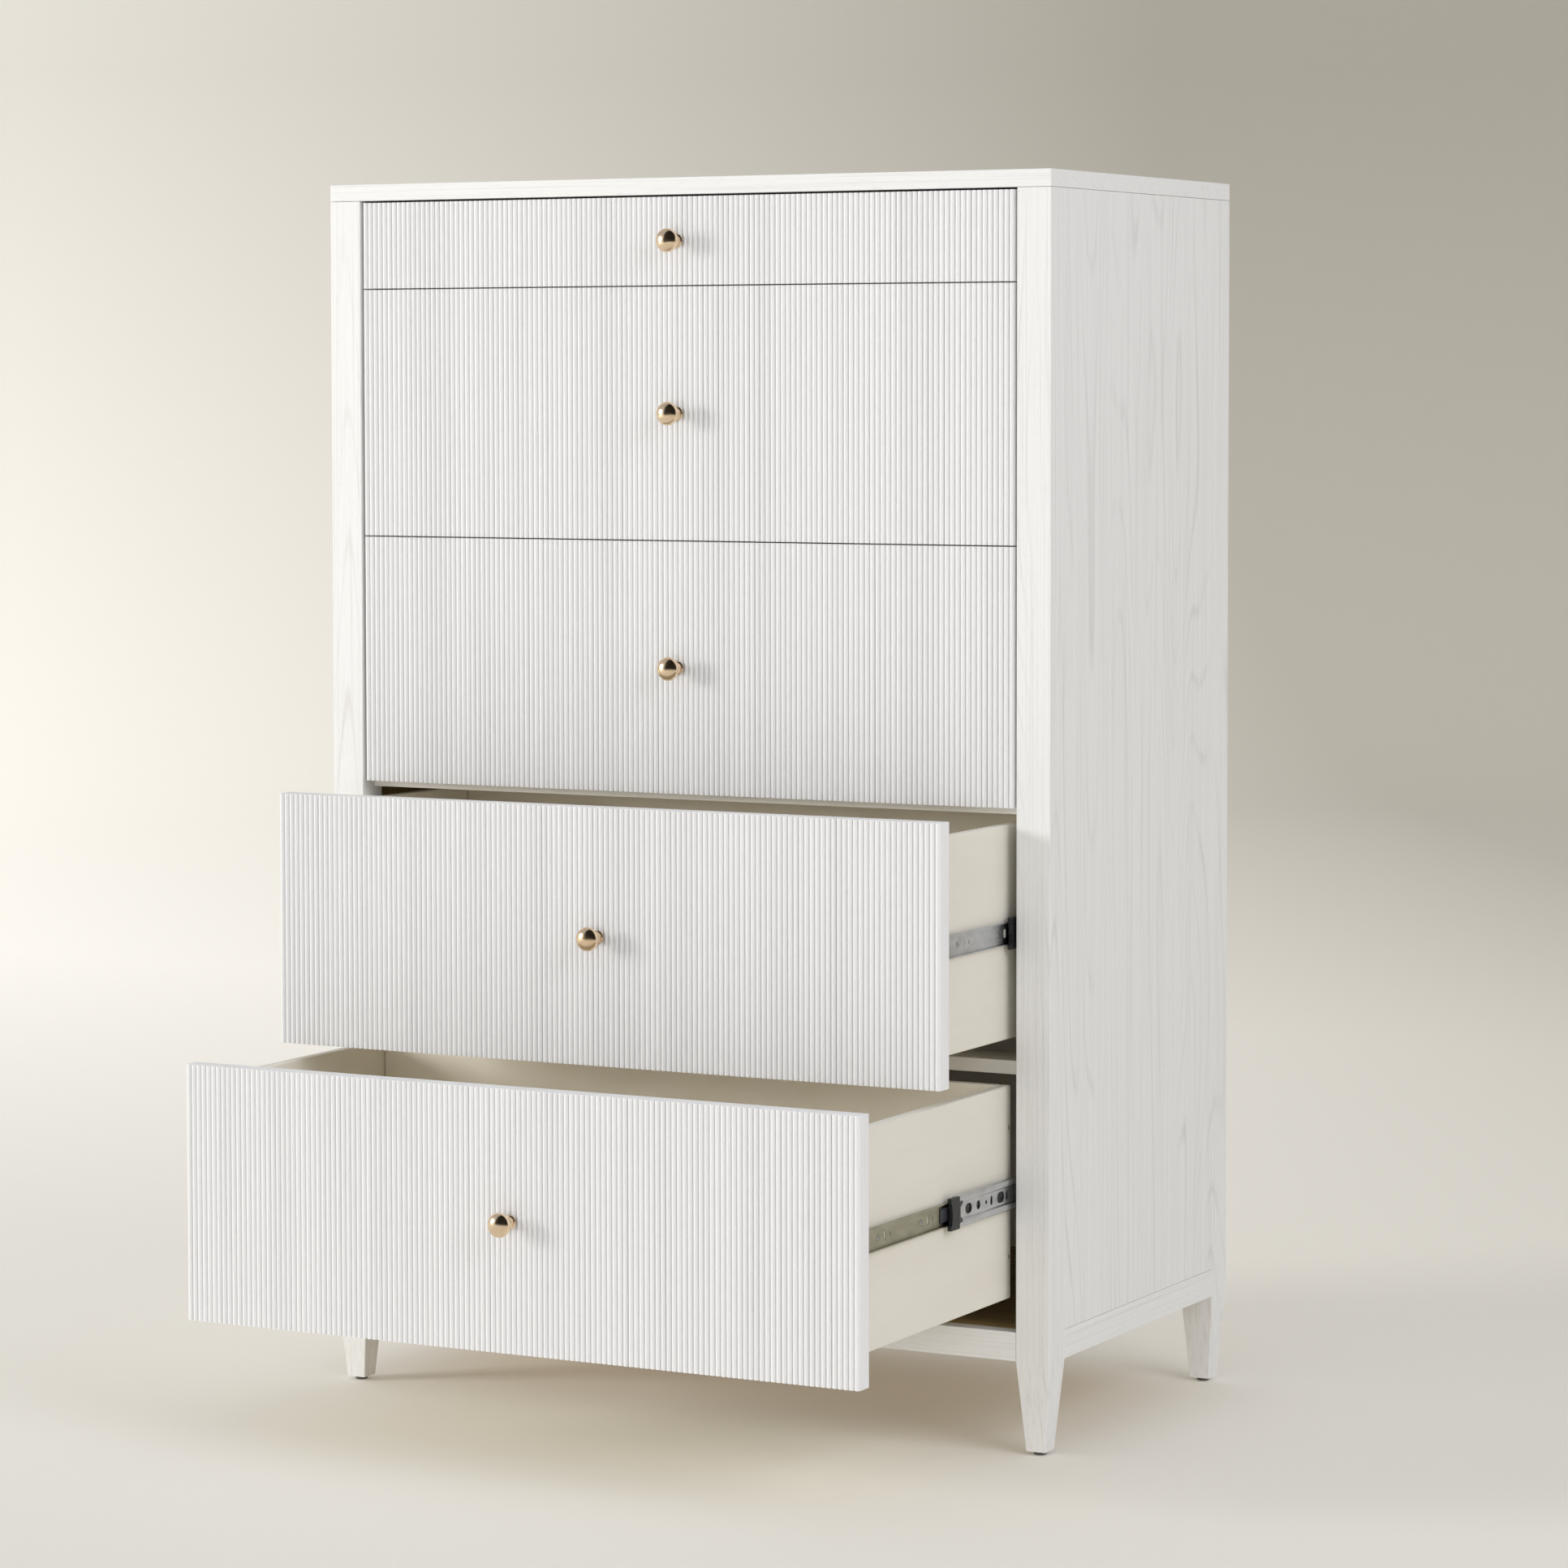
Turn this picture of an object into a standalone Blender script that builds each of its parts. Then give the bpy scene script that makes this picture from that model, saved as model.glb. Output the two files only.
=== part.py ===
"""Tall chest of five drawers on ball-bearing runners, drawers 4 and 5 part open.

Metres, +Z up, the fronts face -Y, and x = 0 is the middle of the chest.
"""

import math

import bpy
import bmesh
from mathutils import Matrix
from mathutils import Vector

# Overall sizes
WIDTH = 0.914
DEPTH = 0.488
HEIGHT = 1.389

# Carcass
POST = 0.040
LEG_HEIGHT = 0.103
LEG_FOOT = 0.023
GLIDE_RADIUS = 0.007
GLIDE_HEIGHT = 0.004
TOP_THICKNESS = 0.019
RAIL_HEIGHT = 0.0315
RAIL_THICKNESS = 0.020
PANEL_THICKNESS = 0.016
BACK_THICKNESS = 0.009
FLOOR_THICKNESS = 0.012
BATTEN_WIDTH = 0.040
# How far the batten stops short of the runners' rear ends
BATTEN_SETBACK = 0.005
DIVIDER_HEIGHT = 0.015
DIVIDER_DEPTH = 0.060
# Room between the back of a front and the divider behind it
DIVIDER_SETBACK = 0.001

# Drawers
DRAWER_COUNT = 5
SHALLOW_FRONT = 0.0963
FRONT_GAP = 0.0032
FRONT_SIDE_GAP = 0.0035
FRONT_THICKNESS = 0.022
REED_COUNT = 128
REED_HEIGHT = 0.0022
BOX_BELOW_FRONT_TOP = 0.016
BOX_ABOVE_FRONT_FOOT = 0.031
BOX_WALL = 0.012
BOX_BOTTOM = 0.006
BOX_BOTTOM_LIFT = 0.010

# How far each drawer stands open, from the top one down
OPEN_BY = (0.0, 0.0, 0.0, 0.1795, 0.365)
# How far a middle runner trails half way between carcass and drawer
RUNNER_LAG = (0.0, 0.0, 0.0, 0.054, 0.0)

# Runners
RUNNER_SPACE = 0.0130
RUNNER_LENGTH = 0.355
# From the back of a front to the runner, and from the runner's end to its middle member
RUNNER_SETBACK = 0.003
MIDDLE_RUNNER_SETBACK = 0.005
RUNNER_STEEL = 0.0012
OUTER_RUNNER_HEIGHT = 0.045
MIDDLE_RUNNER_HEIGHT = 0.034
INNER_RUNNER_HEIGHT = 0.025
MIDDLE_RUNNER_LENGTH = 0.296
# Places across the runner: the middle web from the outer one, and each open edge from the box
MIDDLE_WEB_OFFSET = 0.0045
OUTER_RUNNER_MOUTH = 0.0027
MIDDLE_RUNNER_MOUTH = 0.0015
INNER_RUNNER_DEPTH = 0.0047

# Knobs
KNOB_RADIUS = 0.0133
KNOB_HALF_DEPTH = 0.0082
KNOB_STAND = 0.0225
KNOB_BASE_RADIUS = 0.0078
KNOB_BASE_THICKNESS = 0.0015
KNOB_SHOULDER_RADIUS = 0.0061
KNOB_SHOULDER_REACH = 0.0040
KNOB_NECK_RADIUS = 0.0042
KNOB_NECK_REACH = 0.0075
KNOB_SIDES = 20

GAP = 0.0003

# Derived sizes
HALF = WIDTH / 2
INNER_HALF = HALF - POST
UNDER_TOP = HEIGHT - TOP_THICKNESS
RAIL_TOP = LEG_HEIGHT + RAIL_HEIGHT
FRONT_WIDTH = 2 * (INNER_HALF - FRONT_SIDE_GAP)
STACK = UNDER_TOP - RAIL_TOP - (DRAWER_COUNT + 1) * FRONT_GAP
DEEP_FRONT = (STACK - SHALLOW_FRONT) / (DRAWER_COUNT - 1)
BOX_HALF = INNER_HALF - RUNNER_SPACE
RUNNER_START = FRONT_THICKNESS + RUNNER_SETBACK
MIDDLE_RUNNER_START = RUNNER_START + MIDDLE_RUNNER_SETBACK
BOX_START = FRONT_THICKNESS + GAP
BOX_END = RUNNER_START + RUNNER_LENGTH
KNOB_REACH = KNOB_STAND + KNOB_HALF_DEPTH
# The origin is under the middle of the chest as it stands, open drawers included.
FOREMOST = -max(OPEN_BY) - KNOB_REACH
FRONT_Y = -(DEPTH + FOREMOST) / 2


def clear_scene():
    for obj in list(bpy.data.objects):
        bpy.data.objects.remove(obj, do_unlink=True)


def srgb(code):
    channels = [int(code[i : i + 2], 16) / 255 for i in (1, 3, 5)]
    return tuple(c / 12.92 if c <= 0.04045 else ((c + 0.055) / 1.055) ** 2.4 for c in channels) + (1.0,)


def material(name, code, roughness, metallic=0.0):
    made = bpy.data.materials.new(name)
    made.use_nodes = True
    shader = made.node_tree.nodes["Principled BSDF"]
    shader.inputs["Base Color"].default_value = srgb(code)
    shader.inputs["Roughness"].default_value = roughness
    shader.inputs["Metallic"].default_value = metallic
    made.diffuse_color = srgb(code)
    return made


def add_object(name, mesh, skin, parent=None, at=(0.0, 0.0, 0.0)):
    """Adds a mesh given in chest coordinates, with its origin at the given point."""
    mesh.transform(Matrix.Translation(-Vector(at)))
    obj = bpy.data.objects.new(name, mesh)
    bpy.context.scene.collection.objects.link(obj)
    mesh.materials.append(skin)
    if parent is None:
        obj.location = Vector(at) + Vector((0.0, FRONT_Y, 0.0))
    else:
        obj.parent = parent
        obj.location = Vector(at) - Vector(parent["chest_point"])
    return obj


def finish_mesh(name, work):
    bmesh.ops.recalc_face_normals(work, faces=work.faces)
    mesh = bpy.data.meshes.new(name)
    work.to_mesh(mesh)
    work.free()
    return mesh


def block(name, low, high):
    """A box between two corners."""
    work = bmesh.new()
    bmesh.ops.create_cube(work, size=1.0)
    for vert in work.verts:
        for axis in range(3):
            middle = (low[axis] + high[axis]) / 2
            vert.co[axis] = middle + vert.co[axis] * (high[axis] - low[axis])
    return finish_mesh(name, work)


def prism(name, outline, axis, start, end):
    """An outline pushed along an axis. Its points give the other two axes in order x, y, z."""
    work = bmesh.new()
    rings = []
    for level in (start, end):
        ring = []
        for point in outline:
            place = list(point)
            place.insert(axis, level)
            ring.append(work.verts.new(place))
        rings.append(ring)
    work.faces.new(rings[0])
    work.faces.new(list(reversed(rings[1])))
    count = len(outline)
    for i in range(count):
        j = (i + 1) % count
        work.faces.new((rings[0][i], rings[0][j], rings[1][j], rings[1][i]))
    bmesh.ops.recalc_face_normals(work, faces=work.faces)
    bmesh.ops.triangulate(work, faces=work.faces, ngon_method="BEAUTY")
    return finish_mesh(name, work)


def joined(name, first, second):
    """The union of two meshes that overlap."""
    pieces = []
    for mesh in (first, second):
        piece = bpy.data.objects.new(name + "_piece", mesh)
        bpy.context.scene.collection.objects.link(piece)
        pieces.append(piece)
    union = pieces[0].modifiers.new("union", "BOOLEAN")
    union.operation = "UNION"
    union.solver = "EXACT"
    union.object = pieces[1]
    bpy.context.view_layer.update()
    graph = bpy.context.evaluated_depsgraph_get()
    result = bpy.data.meshes.new_from_object(pieces[0].evaluated_get(graph))
    result.name = name
    for piece in pieces:
        bpy.data.objects.remove(piece, do_unlink=True)
    return result


def post_mesh(name, side, rear):
    """A square post that tapers into a leg below the rails, standing on a round glide."""
    x = side * (HALF - POST / 2)
    y = DEPTH - POST / 2 if rear else POST / 2
    work = bmesh.new()
    levels = (
        (UNDER_TOP - GAP, POST / 2),
        (LEG_HEIGHT, POST / 2),
        (GLIDE_HEIGHT, LEG_FOOT / 2),
    )
    corners = ((-1, -1), (1, -1), (1, 1), (-1, 1))
    rings = []
    for z, half in levels:
        rings.append([work.verts.new((x + cx * half, y + cy * half, z)) for cx, cy in corners])
    for upper, lower in zip(rings, rings[1:]):
        for i in range(4):
            j = (i + 1) % 4
            work.faces.new((upper[i], upper[j], lower[j], lower[i]))
    work.faces.new(rings[0])
    # The foot is one ring of faces from the square down to the glide.
    sides = 12
    circles = []
    for z in (GLIDE_HEIGHT, 0.0):
        circle = []
        for i in range(sides):
            turn = 2 * math.pi * (i + 0.5) / sides - 0.75 * math.pi
            across = GLIDE_RADIUS * math.cos(turn)
            along = GLIDE_RADIUS * math.sin(turn)
            circle.append(work.verts.new((x + across, y + along, z)))
        circles.append(circle)
    per_side = sides // 4
    for i in range(sides):
        j = (i + 1) % sides
        corner = rings[-1][(j // per_side) % 4] if j % per_side == 0 else None
        here = rings[-1][(i // per_side) % 4]
        if corner is not None:
            work.faces.new((here, corner, circles[0][j], circles[0][i]))
        else:
            work.faces.new((here, circles[0][j], circles[0][i]))
        work.faces.new((circles[0][i], circles[0][j], circles[1][j], circles[1][i]))
    work.faces.new(circles[1])
    bmesh.ops.recalc_face_normals(work, faces=work.faces)
    bmesh.ops.triangulate(work, faces=work.faces)
    return finish_mesh(name, work)


def side_panel_mesh(name, side):
    """The side panel with the upright batten glued inside it, which holds the runners' rear ends."""
    batten_end = BOX_END - BATTEN_SETBACK
    batten_start = batten_end - BATTEN_WIDTH
    inner = HALF - PANEL_THICKNESS
    outline = [
        (side * HALF, POST + GAP),
        (side * HALF, DEPTH - POST - GAP),
        (side * inner, DEPTH - POST - GAP),
        (side * inner, batten_end),
        (side * INNER_HALF, batten_end),
        (side * INNER_HALF, batten_start),
        (side * inner, batten_start),
        (side * inner, POST + GAP),
    ]
    return prism(name, outline, 2, RAIL_TOP + GAP, UNDER_TOP - GAP)


def back_and_floor_mesh(name):
    """The back panel and the floor board, which reaches between the posts to the side rails."""
    narrow = INNER_HALF - GAP
    wide = HALF - RAIL_THICKNESS - GAP
    near = POST + GAP
    far = DEPTH - POST - GAP
    start = RAIL_THICKNESS + GAP
    end = DEPTH - BACK_THICKNESS / 2
    right = [(narrow, start), (narrow, near), (wide, near), (wide, far), (narrow, far), (narrow, end)]
    left = [(-x, y) for x, y in reversed(right)]
    floor_low = RAIL_TOP - FLOOR_THICKNESS
    floor = prism(name + "_floor", right + left, 2, floor_low, RAIL_TOP)
    back = block(
        name + "_back",
        (-narrow, DEPTH - BACK_THICKNESS, LEG_HEIGHT),
        (narrow, DEPTH, UNDER_TOP - GAP),
    )
    return joined(name, back, floor)


def front_mesh(name, low, high):
    """A drawer front with upright reeds from end to end."""
    half = FRONT_WIDTH / 2
    pitch = FRONT_WIDTH / REED_COUNT
    outline = [(half, FRONT_THICKNESS), (-half, FRONT_THICKNESS)]
    for i in range(REED_COUNT):
        start = -half + i * pitch
        outline.append((start, REED_HEIGHT))
        outline.append((start + 0.2 * pitch, 0.0))
        outline.append((start + 0.8 * pitch, 0.0))
    outline.append((half, REED_HEIGHT))
    return prism(name, outline, 2, low, high)


def tray_mesh(name, low, high):
    """Four walls round a raised bottom: a pocket from above and a shallow recess below."""
    work = bmesh.new()

    def ring(inset, z):
        x = BOX_HALF - inset
        y0 = BOX_START + inset
        y1 = BOX_END - inset
        return [work.verts.new(p) for p in ((-x, y0, z), (x, y0, z), (x, y1, z), (-x, y1, z))]

    levels = [
        ring(BOX_WALL, low + BOX_BOTTOM_LIFT),
        ring(BOX_WALL, low),
        ring(0.0, low),
        ring(0.0, high),
        ring(BOX_WALL, high),
        ring(BOX_WALL, low + BOX_BOTTOM_LIFT + BOX_BOTTOM),
    ]
    for first, second in zip(levels, levels[1:]):
        for i in range(4):
            j = (i + 1) % 4
            work.faces.new((first[i], first[j], second[j], second[i]))
    work.faces.new(levels[0])
    work.faces.new(levels[-1])
    return finish_mesh(name, work)


def knob_mesh(name, z):
    """A flattened ball on a short neck and a flared base, turned about its own axis."""
    steps = 9
    neck_turn = 0.14 * math.pi
    profile = [
        (0.0, 0.0),
        (KNOB_BASE_RADIUS, 0.0),
        (KNOB_BASE_RADIUS, KNOB_BASE_THICKNESS),
        (KNOB_SHOULDER_RADIUS, KNOB_SHOULDER_REACH),
        (KNOB_NECK_RADIUS, KNOB_NECK_REACH),
    ]
    for i in range(steps):
        turn = neck_turn + (math.pi - neck_turn) * i / steps
        reach = KNOB_STAND - KNOB_HALF_DEPTH * math.cos(turn)
        profile.append((KNOB_RADIUS * math.sin(turn), reach))
    profile.append((0.0, KNOB_REACH))
    work = bmesh.new()
    verts = [work.verts.new((r, -GAP - y if y == 0.0 else -y, z)) for r, y in profile]
    edges = [work.edges.new(pair) for pair in zip(verts, verts[1:])]
    bmesh.ops.spin(
        work,
        geom=verts + edges,
        cent=(0.0, 0.0, z),
        axis=(0.0, 1.0, 0.0),
        angle=2 * math.pi,
        steps=KNOB_SIDES,
    )
    bmesh.ops.remove_doubles(work, verts=work.verts, dist=0.00005)
    return finish_mesh(name, work)


def channel(side, web, tip, half, lip):
    """A rolled channel in x and z: web at one x, flanges to another, lips turned in by a length."""
    steel = math.copysign(RUNNER_STEEL, tip - web)
    points = [
        (web, half),
        (tip, half),
        (tip, half - RUNNER_STEEL - lip),
        (tip - steel, half - RUNNER_STEEL - lip),
        (tip - steel, half - RUNNER_STEEL),
        (web + steel, half - RUNNER_STEEL),
    ]
    if lip == 0.0:
        points = [points[0], points[1], (tip, half - RUNNER_STEEL), points[5]]
    points += [(x, -z) for x, z in reversed(points)]
    return [(side * x, z) for x, z in points]


def runner_mesh(name, outline, start, length, z):
    return prism(name, [(x, z + dz) for x, dz in outline], 1, start, start + length)


def drawer_levels():
    """The foot and top of each drawer front, from the top drawer down."""
    levels = []
    high = UNDER_TOP - FRONT_GAP
    for number in range(1, DRAWER_COUNT + 1):
        low = high - (SHALLOW_FRONT if number == 1 else DEEP_FRONT)
        levels.append((low, high))
        high = low - FRONT_GAP
    return levels


def build_carcass(white, cream, tan):
    add_object("top_panel", block("top_panel", (-HALF, 0.0, UNDER_TOP), (HALF, DEPTH, HEIGHT)), white)
    for side, word in ((-1, "left"), (1, "right")):
        add_object("post_front_" + word, post_mesh("post_front_" + word, side, False), white)
        add_object("post_rear_" + word, post_mesh("post_rear_" + word, side, True), white)
        add_object("side_panel_" + word, side_panel_mesh("side_panel_" + word, side), white)
        rail = block(
            "side_rail_" + word,
            (min(side * HALF, side * (HALF - RAIL_THICKNESS)), POST + GAP, LEG_HEIGHT),
            (max(side * HALF, side * (HALF - RAIL_THICKNESS)), DEPTH - POST - GAP, RAIL_TOP),
        )
        add_object("side_rail_" + word, rail, white)
    front_rail = block(
        "front_rail",
        (GAP - INNER_HALF, 0.0, LEG_HEIGHT),
        (INNER_HALF - GAP, RAIL_THICKNESS, RAIL_TOP),
    )
    add_object("front_rail", front_rail, white)
    add_object("back_and_floor", back_and_floor_mesh("back_and_floor"), cream)
    divider_start = FRONT_THICKNESS + DIVIDER_SETBACK
    for number, (low, high) in enumerate(drawer_levels()[:-1], 1):
        middle = low - FRONT_GAP / 2
        divider = block(
            "divider_" + str(number),
            (GAP - INNER_HALF, divider_start, middle - DIVIDER_HEIGHT / 2),
            (INNER_HALF - GAP, divider_start + DIVIDER_DEPTH, middle + DIVIDER_HEIGHT / 2),
        )
        add_object("divider_" + str(number), divider, tan)


def shifted_empty(name, point, shift):
    """An empty that a drawer's or a runner's pieces hang from, moved out by the drawer's opening."""
    empty = bpy.data.objects.new(name, None)
    bpy.context.scene.collection.objects.link(empty)
    empty["chest_point"] = point
    empty.location = Vector(point) + Vector((0.0, FRONT_Y - shift, 0.0))
    return empty


def build_drawer(number, low, high, white, cream, steel, brass):
    tag = str(number)
    opened = OPEN_BY[number - 1]
    box_low = low + BOX_ABOVE_FRONT_FOOT
    box_high = high - BOX_BELOW_FRONT_TOP
    runner_z = (box_low + box_high) / 2
    middle_z = (low + high) / 2
    drawer = shifted_empty("drawer_" + tag, (0.0, 0.0, middle_z), opened)
    front = front_mesh("drawer_front_" + tag, low, high)
    add_object("drawer_front_" + tag, front, white, drawer, (0.0, 0.0, middle_z))
    box = tray_mesh("drawer_box_" + tag, box_low, box_high)
    add_object("drawer_box_" + tag, box, cream, drawer, (0.0, BOX_START, box_low))
    knob = knob_mesh("knob_" + tag, middle_z)
    add_object("knob_" + tag, knob, brass, drawer, (0.0, 0.0, middle_z))

    outer_web = INNER_HALF - GAP
    inner_web = BOX_HALF + GAP
    middle_web = outer_web - MIDDLE_WEB_OFFSET
    for side, word in ((-1, "left"), (1, "right")):
        outer = channel(
            side,
            outer_web,
            inner_web + OUTER_RUNNER_MOUTH,
            OUTER_RUNNER_HEIGHT / 2,
            (OUTER_RUNNER_HEIGHT - MIDDLE_RUNNER_HEIGHT) / 2 - RUNNER_STEEL - GAP,
        )
        middle = channel(
            side,
            middle_web,
            inner_web + MIDDLE_RUNNER_MOUTH,
            MIDDLE_RUNNER_HEIGHT / 2,
            (MIDDLE_RUNNER_HEIGHT - INNER_RUNNER_HEIGHT) / 2 - RUNNER_STEEL - GAP,
        )
        inner = channel(side, inner_web, inner_web + INNER_RUNNER_DEPTH, INNER_RUNNER_HEIGHT / 2, 0.0)

        name = "outer_runner_" + tag + "_" + word
        mesh = runner_mesh(name, outer, RUNNER_START, RUNNER_LENGTH, runner_z)
        add_object(name, mesh, steel, None, (side * outer_web, RUNNER_START, runner_z))

        start = MIDDLE_RUNNER_START + RUNNER_LAG[number - 1]
        place = (side * middle_web, start, runner_z)
        carrier = shifted_empty("middle_" + tag + "_" + word, place, opened / 2)
        name = "middle_runner_" + tag + "_" + word
        mesh = runner_mesh(name, middle, start, MIDDLE_RUNNER_LENGTH, runner_z)
        add_object(name, mesh, steel, carrier, place)

        name = "inner_runner_" + tag + "_" + word
        length = BOX_END - BOX_START - 2 * GAP
        mesh = runner_mesh(name, inner, BOX_START + GAP, length, runner_z)
        add_object(name, mesh, steel, drawer, (side * inner_web, BOX_START, runner_z))


def main():
    clear_scene()
    white = material("white_painted_wood", "#F2F1EE", 0.55)
    reeded = material("white_painted_reeds", "#F5F4F1", 0.5)
    cream = material("cream_lacquered_wood", "#E3DCC6", 0.5)
    tan = material("tan_divider_wood", "#C9B78F", 0.55)
    steel = material("zinc_plated_steel", "#A3A5A8", 0.35, 1.0)
    brass = material("champagne_brass", "#D9BE8E", 0.22, 1.0)
    build_carcass(white, cream, tan)
    for number, (low, high) in enumerate(drawer_levels(), 1):
        build_drawer(number, low, high, reeded, cream, steel, brass)
    bpy.context.view_layer.update()


main()
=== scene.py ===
"""Looks of a tall chest of drawers with reeded fronts, built round its packed frame.

Metres, +Z up, the fronts face -Y. Every size that the frame gives is read from it.
"""

import math

import bmesh
import bpy
from bpy.props import FloatProperty, FloatVectorProperty, IntProperty, PointerProperty
from mathutils import Matrix, Vector


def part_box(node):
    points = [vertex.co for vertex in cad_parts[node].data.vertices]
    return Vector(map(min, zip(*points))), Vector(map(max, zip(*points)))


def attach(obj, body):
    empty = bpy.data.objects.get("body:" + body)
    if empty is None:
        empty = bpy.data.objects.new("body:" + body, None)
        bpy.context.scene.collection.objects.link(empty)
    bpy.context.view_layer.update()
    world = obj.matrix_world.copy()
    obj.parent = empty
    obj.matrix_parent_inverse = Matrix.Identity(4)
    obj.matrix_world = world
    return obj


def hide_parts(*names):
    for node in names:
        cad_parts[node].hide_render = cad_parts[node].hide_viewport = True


bl_info = {
    "name": "Tall reeded chest",
    "version": (1, 0, 0),
    "blender": (4, 5, 0),
    "location": "3D View > Sidebar > Chest",
    "description": "Builds the looks of a tall chest of drawers round its frame",
    "category": "Object",
}

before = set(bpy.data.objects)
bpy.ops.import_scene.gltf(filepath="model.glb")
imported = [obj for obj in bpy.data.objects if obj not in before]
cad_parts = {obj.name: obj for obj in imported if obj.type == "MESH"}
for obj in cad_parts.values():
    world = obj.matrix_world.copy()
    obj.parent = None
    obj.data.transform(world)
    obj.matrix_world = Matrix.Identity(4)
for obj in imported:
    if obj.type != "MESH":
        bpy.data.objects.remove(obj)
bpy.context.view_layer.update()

DRAWERS = (1, 2, 3, 4, 5)
SIDES = (("left", -1), ("right", 1))
MM = 0.001


# ---------------------------------------------------------------------------
# Small helpers


def linear(code):
    """An sRGB hex colour as linear RGBA."""
    channels = [int(code[i:i + 2], 16) / 255 for i in (1, 3, 5)]
    return tuple(c / 12.92 if c <= 0.04045 else ((c + 0.055) / 1.055) ** 2.4 for c in channels) + (1.0,)


def add_node(tree, kind, inputs=None, **settings):
    """Adds a node with its settings. An input is a value, or the socket or node that it is linked from.

    A Mix node's vectors go in at 4 and 5 and its colours at 6 and 7, since their names are all the same.
    """
    made = tree.nodes.new(kind)
    for name, value in settings.items():
        setattr(made, name, value)
    for key, value in (inputs or {}).items():
        if isinstance(value, bpy.types.Node):
            value = value.outputs[0]
        if isinstance(value, bpy.types.NodeSocket):
            tree.links.new(value, made.inputs[key])
        else:
            made.inputs[key].default_value = value
    return made


def finish_mesh(name, work):
    """Ends a bmesh as a mesh with its faces pointing out."""
    bmesh.ops.recalc_face_normals(work, faces=work.faces)
    mesh = bpy.data.meshes.new(name)
    work.to_mesh(mesh)
    work.free()
    return mesh


def smooth(mesh, degrees=35.0):
    """Shades a mesh smooth, with its corners left sharp."""
    mesh.shade_smooth()
    mesh.set_sharp_from_angle(angle=math.radians(degrees))
    return mesh


def board(name, low, high, edge):
    """A board between two corners, its edges eased as sandpaper leaves them."""
    work = bmesh.new()
    bmesh.ops.create_cube(work, size=1.0)
    for vert in work.verts:
        for axis in range(3):
            middle = (low[axis] + high[axis]) / 2
            vert.co[axis] = middle + vert.co[axis] * (high[axis] - low[axis])
    bmesh.ops.bevel(work, geom=work.edges[:], offset=edge, segments=2, profile=0.5, affect="EDGES")
    return finish_mesh(name, work)


def extrusion(name, outline, axis, start, end):
    """An outline pushed along an axis. Its points give the other two axes in order x, y, z."""
    work = bmesh.new()
    rings = []
    for level in (start, end):
        ring = []
        for point in outline:
            place = list(point)
            place.insert(axis, level)
            ring.append(work.verts.new(place))
        rings.append(ring)
    work.faces.new(rings[0])
    work.faces.new(list(reversed(rings[1])))
    for i in range(len(outline)):
        j = (i + 1) % len(outline)
        work.faces.new((rings[0][i], rings[0][j], rings[1][j], rings[1][i]))
    return finish_mesh(name, work)


def turned(name, profile, centre, axis, steps):
    """A profile of (radius, height) turned round an axis through a point."""
    along = Vector(axis)
    across = along.orthogonal().normalized()
    centre = Vector(centre)
    work = bmesh.new()
    verts = [work.verts.new(centre + across * r + along * h) for r, h in profile]
    edges = [work.edges.new(pair) for pair in zip(verts, verts[1:])]
    bmesh.ops.spin(
        work, geom=verts + edges, cent=centre, axis=along, angle=2 * math.pi, steps=steps
    )
    bmesh.ops.remove_doubles(work, verts=work.verts, dist=0.00001)
    return finish_mesh(name, work)


def rounded(points, radius, steps=4):
    """An open line with each of its corners turned to an arc."""
    line = [Vector(p) for p in points]
    made = [line[0]]
    for before, corner, after in zip(line, line[1:], line[2:]):
        back = (before - corner).normalized()
        on = (after - corner).normalized()
        half = back.angle(on) / 2
        reach = min(radius / math.tan(half), (before - corner).length / 2, (after - corner).length / 2)
        start = corner + back * reach
        end = corner + on * reach
        for i in range(steps + 1):
            t = i / steps
            made.append(start * (1 - t) ** 2 + corner * 2 * t * (1 - t) + end * t ** 2)
    made.append(line[-1])
    return made


def rolled(points, radius, thickness):
    """The closed outline of sheet steel of one thickness, rolled along a line."""
    line = rounded(points, radius)
    near = []
    far = []
    for i, point in enumerate(line):
        before = line[max(i - 1, 0)]
        after = line[min(i + 1, len(line) - 1)]
        along = (after - before).normalized()
        side = Vector((-along.y, along.x)) * thickness / 2
        near.append(point + side)
        far.append(point - side)
    return near + far[::-1]


def add_piece(name, mesh, finish, body, slot, *nodes):
    """Puts a mesh in the scene as a piece that rides on a body and stands for CAD nodes."""
    piece = bpy.data.objects.new(name, mesh)
    bpy.context.scene.collection.objects.link(piece)
    if not mesh.materials:
        mesh.materials.append(finish)
    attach(piece, body)
    if nodes:
        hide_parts(*nodes)
    return piece


def made_by_nodes(name, mesh, tree, values):
    """The plain mesh that a Geometry Nodes tree makes from a mesh, with inputs given by name."""
    host = bpy.data.objects.new(name + "_host", mesh)
    bpy.context.scene.collection.objects.link(host)
    modifier = host.modifiers.new("shape", "NODES")
    modifier.node_group = tree
    for item in tree.interface.items_tree:
        if item.item_type == "SOCKET" and item.in_out == "INPUT" and item.name in values:
            modifier[item.identifier] = values[item.name]
    bpy.context.view_layer.update()
    graph = bpy.context.evaluated_depsgraph_get()
    result = bpy.data.meshes.new_from_object(host.evaluated_get(graph), depsgraph=graph)
    result.name = name
    bpy.data.objects.remove(host, do_unlink=True)
    if not result.polygons:
        raise RuntimeError(name + " came out of its nodes empty")
    return result


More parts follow.
